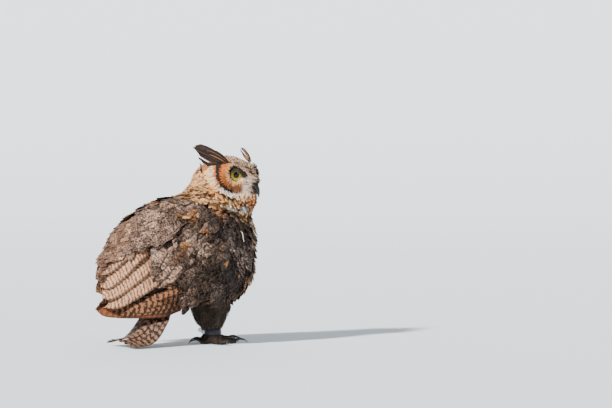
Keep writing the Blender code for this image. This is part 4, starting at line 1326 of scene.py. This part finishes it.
def lay_quills(name, quills, path_of, look, *, rows=18, columns=9, buried=0.006, tilt=-0.16, cup=0.10, fray=0.05,
               seed):
    """One piece of a few large feathers, each along path_of(quill): points and outward directions."""
    rng = np.random.default_rng(plumage().seed * 1000 + seed)
    laid = [path_of(quill) for quill in quills]
    paths, ups = np.array([p for p, _ in laid]), np.array([u for _, u in laid])
    width = np.array([q.width for q in quills])
    layer = np.array([q.layer for q in quills])
    length = np.linalg.norm(np.diff(paths, axis=1), axis=2).sum(axis=1)

    def rise(v):
        out = fade(v, 0.0, 0.35)
        return -buried * (1 - out) + layer[:, None] * out

    points, u, v = vane_grid(
        paths, ups, width, rows, columns, rise=rise, outline=flight_outline, cup=cup, fray=fray,
        tilt=np.broadcast_to(tilt, len(quills)), sweep=0.12, rng=rng,
    )
    marks = {
        "ground": vary(np.array([q.ground for q in quills]), 0.05, rng),
        "mark": np.array([q.mark for q in quills]),
        "pattern": np.array([q.pattern for q in quills]),
    }
    piece = vane_object(name, points, u, v, marks, length, width, rng.random(len(quills)), atlas(len(quills)))
    piece.data.materials.append(look)
    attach(piece, "root")
    return piece


def feathering(ground, mark, pattern):
    """A Quill's colours, given as on a screen, and its weights: bars, contrast, streak and tip."""
    return tint(*ground), tint(*mark), pattern


SECONDARY = feathering((0.80, 0.60, 0.46), (0.20, 0.11, 0.07), (0.66, 0.88, 0.0, 0.0))
PRIMARY = feathering((0.52, 0.34, 0.22), (0.05, 0.032, 0.026), (0.92, 0.94, 0.0, 0.0))
WING_END = feathering((0.46, 0.27, 0.155), (0.05, 0.032, 0.026), (0.97, 0.45, 0, 0))
GREAT_COVERT = feathering((0.68, 0.54, 0.46), (0.09, 0.06, 0.05), (0.35, 0.92, 0.0, 0.1))
STRAY = feathering((0.95, 0.89, 0.82), (0.6, 0.55, 0.5), (0.0, 0.2, 0.0, 0.0))
TAIL_FEATHER = feathering((0.52, 0.39, 0.31), (0.045, 0.032, 0.026), (0.70, 0.97, 0.0, 0.0))

# Places on the wing are (x, angle). Each secondary: its start, how far it ends short of the frame's,
# the angle there, and how much of its light it gets: its ground colour is darkened by this share, painted shade
# under the scapulars on the top ones.
SECONDARIES = (
    ((-0.100, 12), 0.026, 2, 0.55), ((-0.100, 14), 0.010, 3, 0.75), ((-0.094, 17), 0.003, 9, 0.92),
    ((-0.084, 21), 0.002, 20, 1.0), ((-0.066, 28), 0.003, 32, 1.0), ((-0.044, 37), 0.006, 48, 1.0),
)
# The starts and ends of the primaries above the first, which is the wing's edge and reaches furthest.
PRIMARIES = (
    ((-0.012, 74), (-0.160, 66)), ((-0.008, 67), (-0.132, 66)), ((-0.006, 60), (-0.106, 62)),
    ((-0.006, 53), (-0.084, 56)), ((-0.008, 46), (-0.062, 49)),
)
TAIL_COUNT = 7
COVERT_TIPS = (
    (-0.088, 36), (-0.074, 42), (-0.062, 46), (-0.049, 44), (-0.036, 45), (-0.068, 36), (-0.050, 38), (-0.034, 39),
)


class OWL_OT_flight_feathers(Step, bpy.types.Operator):
    """Folded secondaries and primaries of both wings"""

    bl_idname = "owl.flight_feathers"
    bl_label = "Flight feathers"

    def build(self):
        for side, sign in SIDES:
            shell = WingShell(side, sign)
            ground, mark, pattern = SECONDARY
            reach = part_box(side + "_secondaries")[0][0]
            # The top secondaries' ground colour is darkened by their light share: painted shade under the scapulars.
            quills = [
                Quill(start, (reach + short, angle), 0.040, 0.0036 - 0.0008 * k, tuple(c * light for c in ground),
                      mark, pattern)
                for k, (start, short, angle, light) in enumerate(SECONDARIES)
            ]
            self.lay(side, "secondaries", "secondary", quills[::-1], shell, 0.75, 1)
            edge = ((-0.025, 80), (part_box(side + "_primaries")[0][0] - 0.003, 62))
            quills = [
                Quill(start, end, 0.027, -0.0045 + 0.0006 * k, *(PRIMARY if k else WING_END))
                for k, (start, end) in enumerate((edge, *PRIMARIES))
            ]
            self.lay(side, "primaries", "primary", quills, shell, 1.15, 2)

    def lay(self, side, part, kind, quills, shell, bar_period, seed):
        piece = lay_quills(f"{side}_{kind}_feathers", quills, lambda q: shell.path(q.start, q.end, 10),
                           quill_material(part, bar_period), seed=seed)
        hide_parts(f"{side}_{part}")


class OWL_OT_great_coverts(Step, bpy.types.Operator):
    """Large coverts over the roots of the flight feathers, and a stray white one by the right wing's bend"""

    bl_idname = "owl.great_coverts"
    bl_label = "Greater coverts"

    def build(self):
        for side, sign in SIDES:
            shell = WingShell(side, sign)
            rng = np.random.default_rng(plumage().seed + 3)
            quills = []
            for k, (x, angle) in enumerate(COVERT_TIPS):
                end = (x + 0.003 * rng.normal(), angle + 0.8 * rng.normal())
                start, width = (end[0] + 0.042, end[1] - 9), 0.021 + 0.002 * rng.normal()
                quills.append(Quill(start, end, width, 0.0022 + 0.0006 * (k % 4), *GREAT_COVERT))
            if sign < 0:
                quills.append(Quill((0.111, 28), (0.1135, 36), 0.0018, 0.0075, *STRAY))
            lay_quills(side + "_great_coverts", quills, lambda q: shell.path(q.start, q.end, 8),
                       quill_material("secondaries", 0.75), rows=12, seed=3)


class OWL_OT_tail(Step, bpy.types.Operator):
    """Tail feathers, fanned over the frame's tail, the middle ones on top"""

    bl_idname = "owl.tail"
    bl_label = "Tail"

    def build(self):
        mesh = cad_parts["tail"].data
        tree = BVHTree.FromPolygons([v.co for v in mesh.vertices], triangles_of(mesh).tolist())
        points = read(mesh.vertices, "co", 3)
        root = points[points[:, 2] > np.quantile(points[:, 2], 0.96)].mean(axis=0)
        end = points[points[:, 2] < 0.012].mean(axis=0)
        way = Vector((end[0] - root[0], end[1] - root[1], 0)).normalized()
        side = Vector((-way.y, way.x, 0))
        reach = max((Vector(p) - Vector(root)).dot(way) for p in points)
        widest = max(abs((Vector(p) - Vector(root)).dot(side)) for p in points)

        def down_tail(quill):
            """From the root along the tail's upper face; quill.end is how far it goes, and how far aside."""
            line, last = [], None
            for share in np.linspace(0, 1, 60):
                spread = quill.end[1] * (0.30 + 0.70 * share)
                at = Vector(root) + way * reach * (0.02 + share * quill.end[0]) + side * widest * spread
                hit, normal, _, _ = tree.ray_cast(Vector((at.x, at.y, 0.3)), Vector((0, 0, -1)))
                if hit is None:
                    hit, normal = Vector((at.x, at.y, last.z if last else at.z)), Vector((0, 0, 1))
                line.append((*hit, *normal))
                last = hit
            line = np.array(line)
            walked = np.r_[0, np.cumsum(np.linalg.norm(np.diff(line[:, :3], axis=0), axis=1))]
            even = np.linspace(0, walked[-1], 13)
            line = np.stack([np.interp(even, walked, line[:, k]) for k in range(6)], axis=1)
            for _ in range(3):
                line[1:-1] = (line[:-2] + 2 * line[1:-1] + line[2:]) / 4
            return line[:, :3], unit(line[:, 3:])

        quills = []
        for k in range(TAIL_COUNT):
            spread = (2 * k / (TAIL_COUNT - 1) - 1) * 0.82
            far = 0.97 - 0.10 * abs(spread) ** 2
            quills.append(Quill(None, (far, spread), 0.0245, 0.0005 + 0.0130 * (1 - abs(spread)), *TAIL_FEATHER))
        quills.sort(key=lambda q: -abs(q.end[1]))
        tilt = np.array([0.16 * np.sign(q.end[1]) for q in quills])
        piece = lay_quills("tail_feathers", quills, down_tail, quill_material("tail feathers", 1.4), rows=22,
                           buried=0.002, tilt=tilt, seed=5)
        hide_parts("tail")


class OWL_OT_ear_tufts(Step, bpy.types.Operator):
    """The two feather horns: the right one seen broad, the left one thin"""

    bl_idname = "owl.ear_tufts"
    bl_label = "Ear tufts"

    def build(self):
        dark = feathering((0.22, 0.165, 0.15), (0.09, 0.07, 0.065), (0.0, 0.8, 0.6, 0.2))
        tawny = feathering((0.80, 0.56, 0.36), (0.14, 0.10, 0.08), (0.1, 0.5, 0.5, 0.2))
        cream = feathering((0.92, 0.68, 0.46), (0.30, 0.20, 0.14), (0.0, 0.3, 0.4, 0.0))
        for side, count, width, spread in (("right", 15, 0.0082, 0.0070), ("left", 7, 0.0048, 0.0028)):
            root, tip, way, broad, flat = self.axes(side + "_ear_tuft")
            rng = np.random.default_rng(plumage().seed + count)
            quills = []
            for k in range(count):
                across = (k / (count - 1) - 0.5) * 2
                far = 0.97 - 0.08 * across**2 - 0.12 * max(0.0, -across) + 0.02 * rng.normal()
                if side == "right":  # every fifth one is short, narrow and tawny
                    colours, share, cut = (tawny, 0.32, 0.66) if k % 5 == 3 else (dark, 1.0, 1.0)
                else:  # short cream ones between long dark ones
                    colours, share, cut = (cream, 1.0, 0.66) if k % 2 else (dark, 0.7, 1.0)
                breadth = width * share * (0.8 + 0.3 * rng.random())
                quills.append(Quill(across, far * cut, breadth, 0.0008 * (k % 3), *colours))
            if side == "right":  # loose ends round the foot of the tuft
                quills += [Quill(across, far, 0.0060, 0.0, *colours) for across, far, colours in (
                    (1.1, 0.52, dark), (-1.9, 0.72, dark), (-2.3, 0.60, dark), (-2.8, 0.50, tawny),
                    (-3.1, 0.60, tawny), (-3.6, 0.55, dark), (-3.9, 0.45, tawny), (-4.3, 0.52, dark))]

            def sweep(quill):
                """quill.start is how far across the tuft it stands, and quill.end its share of the length."""
                share = np.linspace(0, 1, 9)[:, None]
                off, turn = 0.5 * spread * rng.normal() * flat, 0.45 * rng.normal()
                base = root - way * 0.012 + broad * quill.start * spread * 0.45
                end = root + (tip - root) * quill.end + broad * quill.start * spread * 1.15 + off
                bow = broad * 0.004 * quill.start * np.sin(share * math.pi)
                up = flat * math.cos(turn) + broad * math.sin(turn)
                return base + (end - base) * share + bow, np.tile(up, (9, 1))

            piece = lay_quills(side + "_ear_tuft_feathers", quills, sweep, feather_material(), rows=12, columns=7,
                               buried=0.001, tilt=0.05, cup=0.22, fray=0.18, seed=6 + count)
            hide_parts(side + "_ear_tuft")

    def axes(self, node):
        """Root and tip of the frame's tuft, the way between them, its broad direction and the outward one."""
        points = read(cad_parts[node].data.vertices, "co", 3)
        centre = np.array(HEAD.translation)
        reach = np.linalg.norm(points - centre, axis=1)
        root, tip = points[reach < np.quantile(reach, 0.15)].mean(axis=0), points[np.argmax(reach)]
        way = unit(tip - root)
        offset = points - points.mean(axis=0)
        offset = offset - np.outer(offset @ way, way)
        broad = np.linalg.svd(offset, full_matrices=False)[2][0]
        broad = broad * np.sign(broad[2])
        flat = np.cross(way, broad)
        flat = flat * np.sign(flat @ (points.mean(axis=0) - centre - 0.03 * way))
        return root, tip, way, broad, flat


FLIGHT_STEPS = (OWL_OT_flight_feathers, OWL_OT_great_coverts, OWL_OT_tail, OWL_OT_ear_tufts)


# --- Eyes, bill, claws and anklets ---------------------------------------------------------------

EYE_BALL = 0.0150
DOME_TOP = 0.0152  # over the eyeball's middle, along the gaze, as the next two
IRIS_DEPTH = 0.0087
DOME_FOOT = IRIS_DEPTH + 0.0009
LID_RADIUS, LID_HEIGHT, LID_SLANT = 0.0158, 0.0084, 0.38
LID_THICK = 0.0009


class OWL_OT_eyes(Step, bpy.types.Operator):
    """Eyeballs with a sunken iris, a clear dome, black lid margins and a hood"""

    bl_idname = "owl.eyes"
    bl_label = "Eyes"

    def build(self):
        settings = bpy.context.scene.owl_head
        opening = settings.eye_opening
        iris_look, cornea_look = iris_material(settings), cornea_material()
        lid_look = plain_material("lid margin", (0.004, 0.004, 0.004), (0.012, 0.011, 0.011), scale=900,
                                  roughness=0.35, bump=0.3)
        hood_look = plain_material("lid skin", tint(0.12, 0.09, 0.08), tint(0.24, 0.19, 0.16), scale=700,
                                   roughness=0.7, bump=0.8)
        hole = opening * settings.pupil
        ball = [(opening + 0.0006, IRIS_DEPTH + 0.0008)]
        ball += [(EYE_BALL * math.sin(a), -EYE_BALL * math.cos(a))
                 for a in np.radians((125, 105, 85, 65, 45, 25, 10))] + [(0, -EYE_BALL)]
        dish = [(radius, IRIS_DEPTH + height) for radius, height in (
            (opening + 0.0004, 0.0006), (opening * 0.92, 0.0003), (opening * 0.7, 0), (hole * 1.08, -0.0002),
            (hole, -0.0005), (hole * 0.5, -0.0007), (0, -0.0008))]
        dome = [((opening + 0.0003) * math.cos(a), DOME_FOOT + (DOME_TOP - DOME_FOOT) * math.sin(a))
                for a in np.radians(np.arange(0, 86, 9))] + [(0, DOME_TOP)]
        for side, sign in SIDES:
            place = gaze(side, sign)
            finish_piece(turned(side + "_eyeball", ball, place), lid_look, side + "_eye")
            iris = turned(side + "_iris", dish, place)
            flat = np.array([place.inverted() @ v.co for v in iris.data.vertices])[:, :2]
            flat = flat / (opening + 0.0004) / 2 + 0.5
            corners = read(iris.data.loops, "vertex_index", 1, np.int32)
            iris.data.uv_layers.new(name="Iris").data.foreach_set("uv", flat[corners].astype(np.float32).ravel())
            finish_piece(iris, iris_look)
            finish_piece(turned(side + "_cornea", dome, place), cornea_look)
            lid = added(side + "_lid_margin", bpy.ops.mesh.primitive_torus_add, major_segments=64, minor_segments=12,
                        major_radius=opening + 0.0006, minor_radius=0.0006, location=(0, 0, DOME_FOOT + 0.0002))
            settle(lid, place @ lid.matrix_world)
            finish_piece(lid, lid_look)
            finish_piece(self.hood(side, sign, place), hood_look)

    def hood(self, side, sign, place):
        """The lid over the top of the eye, lower towards the bill."""
        lid = added(side + "_upper_lid", bpy.ops.mesh.primitive_uv_sphere_add, segments=48, ring_count=32,
                    radius=LID_RADIUS)
        with edit_mode():
            for normal, offset in (((-sign * LID_SLANT, 1, 0), LID_HEIGHT), ((0, 0, 1), 0.0)):
                bpy.ops.mesh.select_all(action="SELECT")
                away = Vector(normal).normalized()
                bpy.ops.mesh.bisect(plane_co=away * offset, plane_no=away, clear_inner=True)
        change(lid, "SOLIDIFY", thickness=LID_THICK, offset=-1)
        settle(lid, place)
        return lid


class OWL_OT_bill(Step, bpy.types.Operator):
    """Upper and lower bill"""

    bl_idname = "owl.bill"
    bl_label = "Bill"

    def build(self):
        horn = tuple(bpy.context.scene.owl_head.horn)
        look = horn_material("bill horn", tuple(c * 0.5 for c in horn), horn)
        for part in ("upper_bill", "lower_bill"):
            obj = copy_of(part + "_horn", part)
            change(obj, "SUBSURF", levels=2)
            finish_piece(obj, look, part)


class OWL_OT_claws(Step, bpy.types.Operator):
    """Eight curved black claws"""

    bl_idname = "owl.claws"
    bl_label = "Claws"

    def build(self):
        horn = tuple(bpy.context.scene.owl_head.horn)
        look = horn_material("claw horn", tuple(c * 0.25 for c in horn), tuple(c * 0.7 for c in horn))
        for node in [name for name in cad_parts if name.endswith("_claw")]:
            obj = copy_of(node + "_horn", node)
            change(obj, "SUBSURF", levels=1)
            finish_piece(obj, look, node)


class OWL_OT_anklets(Step, bpy.types.Operator):
    """Leather anklets with metal grommets"""

    bl_idname = "owl.anklets"
    bl_label = "Anklets"

    def build(self):
        leather = plain_material("dark leather", tint(0.03, 0.045, 0.08), tint(0.06, 0.09, 0.16), scale=500,
                                 roughness=0.5, bump=0.6)
        metal = plain_material("grommet metal", (0.45, 0.46, 0.48), (0.65, 0.66, 0.68), scale=900,
                               roughness=0.28, bump=0.1, metallic=1.0)
        for part, look, width in (("anklet", leather, 0.0004), ("grommet", metal, 0.0003)):
            for side, _ in SIDES:
                obj = copy_of(f"{side}_{part}_piece", f"{side}_{part}")
                change(obj, "BEVEL", width=width, segments=2, limit_method="ANGLE")
                finish_piece(obj, look, f"{side}_{part}")
                pick(obj)
                bpy.ops.object.shade_smooth_by_angle(angle=math.radians(35))


HARD_STEPS = (OWL_OT_eyes, OWL_OT_bill, OWL_OT_claws, OWL_OT_anklets)


# --- Stage ---------------------------------------------------------------------------------------


FLOOR_HALF, WALL_HEIGHT, CORNER_RADIUS = (20, 9), 9, 4
TOWARDS_KEY, FILL_PLACE, FILL_SIZE = (-0.93, -0.36, 0.72), (2.6, -3.0, 1.6), 2.5


class OWL_OT_stage(Step, bpy.types.Operator):
    """Pale floor, soft studio light and the camera"""

    bl_idname = "owl.stage"
    bl_label = "Stage"

    def build(self):
        settings = bpy.context.scene.owl_stage
        self.floor(settings)
        self.lights(settings)
        self.camera(settings)

    def floor(self, settings):
        floor = added("floor", bpy.ops.mesh.primitive_plane_add, size=2)
        with edit_mode():
            bpy.ops.transform.resize(value=(*FLOOR_HALF, 1))
            bpy.ops.mesh.select_all(action="DESELECT")
        for edge in floor.data.edges:
            edge.select = all(floor.data.vertices[v].co.y > 0 for v in edge.vertices)
        bpy.ops.object.mode_set(mode="EDIT")
        bpy.ops.mesh.select_mode(type="EDGE")
        bpy.ops.mesh.extrude_region_move(TRANSFORM_OT_translate={"value": (0, 0, WALL_HEIGHT)})
        bpy.ops.object.mode_set(mode="OBJECT")
        change(floor, "BEVEL", width=CORNER_RADIUS, segments=24, limit_method="ANGLE")
        settle(floor, Matrix.Rotation(settings.azimuth, 4, "Z"))
        floor.data.shade_smooth()
        look = Look("pale floor")
        floor.data.materials.append(look.shade(Base_Color=(*tint(0.86, 0.88, 0.90), 1), Roughness=0.8))

    def lights(self, settings):
        world = bpy.data.worlds.new("pale sky")
        world.use_nodes = True
        t = Tree(world.node_tree)
        sky = world.node_tree.nodes["Background"]
        sky.inputs["Color"].default_value = (*tint(0.86, 0.92, 0.97), 1)
        seen = t.add("ShaderNodeLightPath").outputs["Is Camera Ray"]
        t.link(t.math("MULTIPLY_ADD", seen, 0.55, 0.45), sky.inputs["Strength"])
        bpy.context.scene.world = world
        key = added("key light", bpy.ops.object.light_add, type="SUN")
        key.data.energy = settings.key_strength
        key.data.angle = math.radians(5)
        key.data.color = (1.0, 0.965, 0.92)
        key.rotation_euler = Vector(TOWARDS_KEY).to_track_quat("Z", "Y").to_euler()
        fill = added("fill light", bpy.ops.object.light_add, type="AREA", location=FILL_PLACE)
        fill.data.size = FILL_SIZE
        fill.data.energy = settings.fill_power
        fill.data.color = (0.88, 0.94, 1.0)
        fill.rotation_euler = (fill.location - Vector((0, 0, 0.2))).to_track_quat("Z", "Y").to_euler()

    def camera(self, settings):
        turn, rise = settings.azimuth, settings.elevation
        back = Vector((math.sin(turn) * math.cos(rise), -math.cos(turn) * math.cos(rise), math.sin(rise)))
        location = Vector(settings.aim) + back * settings.distance
        camera = added("camera", bpy.ops.object.camera_add, location=location)
        camera.rotation_euler = back.to_track_quat("Z", "Y").to_euler()
        camera.data.lens = settings.lens
        camera.data.clip_end = 200
        bpy.context.scene.camera = camera


# --- Panel and registering -----------------------------------------------------------------------

STEPS = (*COAT_STEPS, *FLIGHT_STEPS, *HARD_STEPS, OWL_OT_stage)


class OWL_PT_sidebar(bpy.types.Panel):
    """Settings and building steps of the owl"""

    bl_idname = "OWL_PT_sidebar"
    bl_label = "Great Horned Owl"
    bl_space_type = "VIEW_3D"
    bl_region_type = "UI"
    bl_category = "Owl"

    def draw(self, context):
        for group in (context.scene.owl_plumage, context.scene.owl_head, context.scene.owl_stage):
            box = self.layout.box()
            for key in group.bl_rna.properties.keys():
                if key not in ("rna_type", "name"):
                    box.prop(group, key)
        for step in STEPS:
            self.layout.operator(step.bl_idname)


CLASSES = (OwlPlumageSettings, OwlHeadSettings, OwlStageSettings, *STEPS, OWL_PT_sidebar)


def register():
    for cls in CLASSES:
        bpy.utils.register_class(cls)
    bpy.types.Scene.owl_plumage = bpy.props.PointerProperty(type=OwlPlumageSettings)
    bpy.types.Scene.owl_head = bpy.props.PointerProperty(type=OwlHeadSettings)
    bpy.types.Scene.owl_stage = bpy.props.PointerProperty(type=OwlStageSettings)


def unregister():
    for name in ("owl_plumage", "owl_head", "owl_stage"):
        delattr(bpy.types.Scene, name)
    for cls in reversed(CLASSES):
        bpy.utils.unregister_class(cls)


def main():
    register()
    for step in STEPS:
        family, name = step.bl_idname.split(".")
        getattr(getattr(bpy.ops, family), name)()


if __name__ == "__main__":
    main()
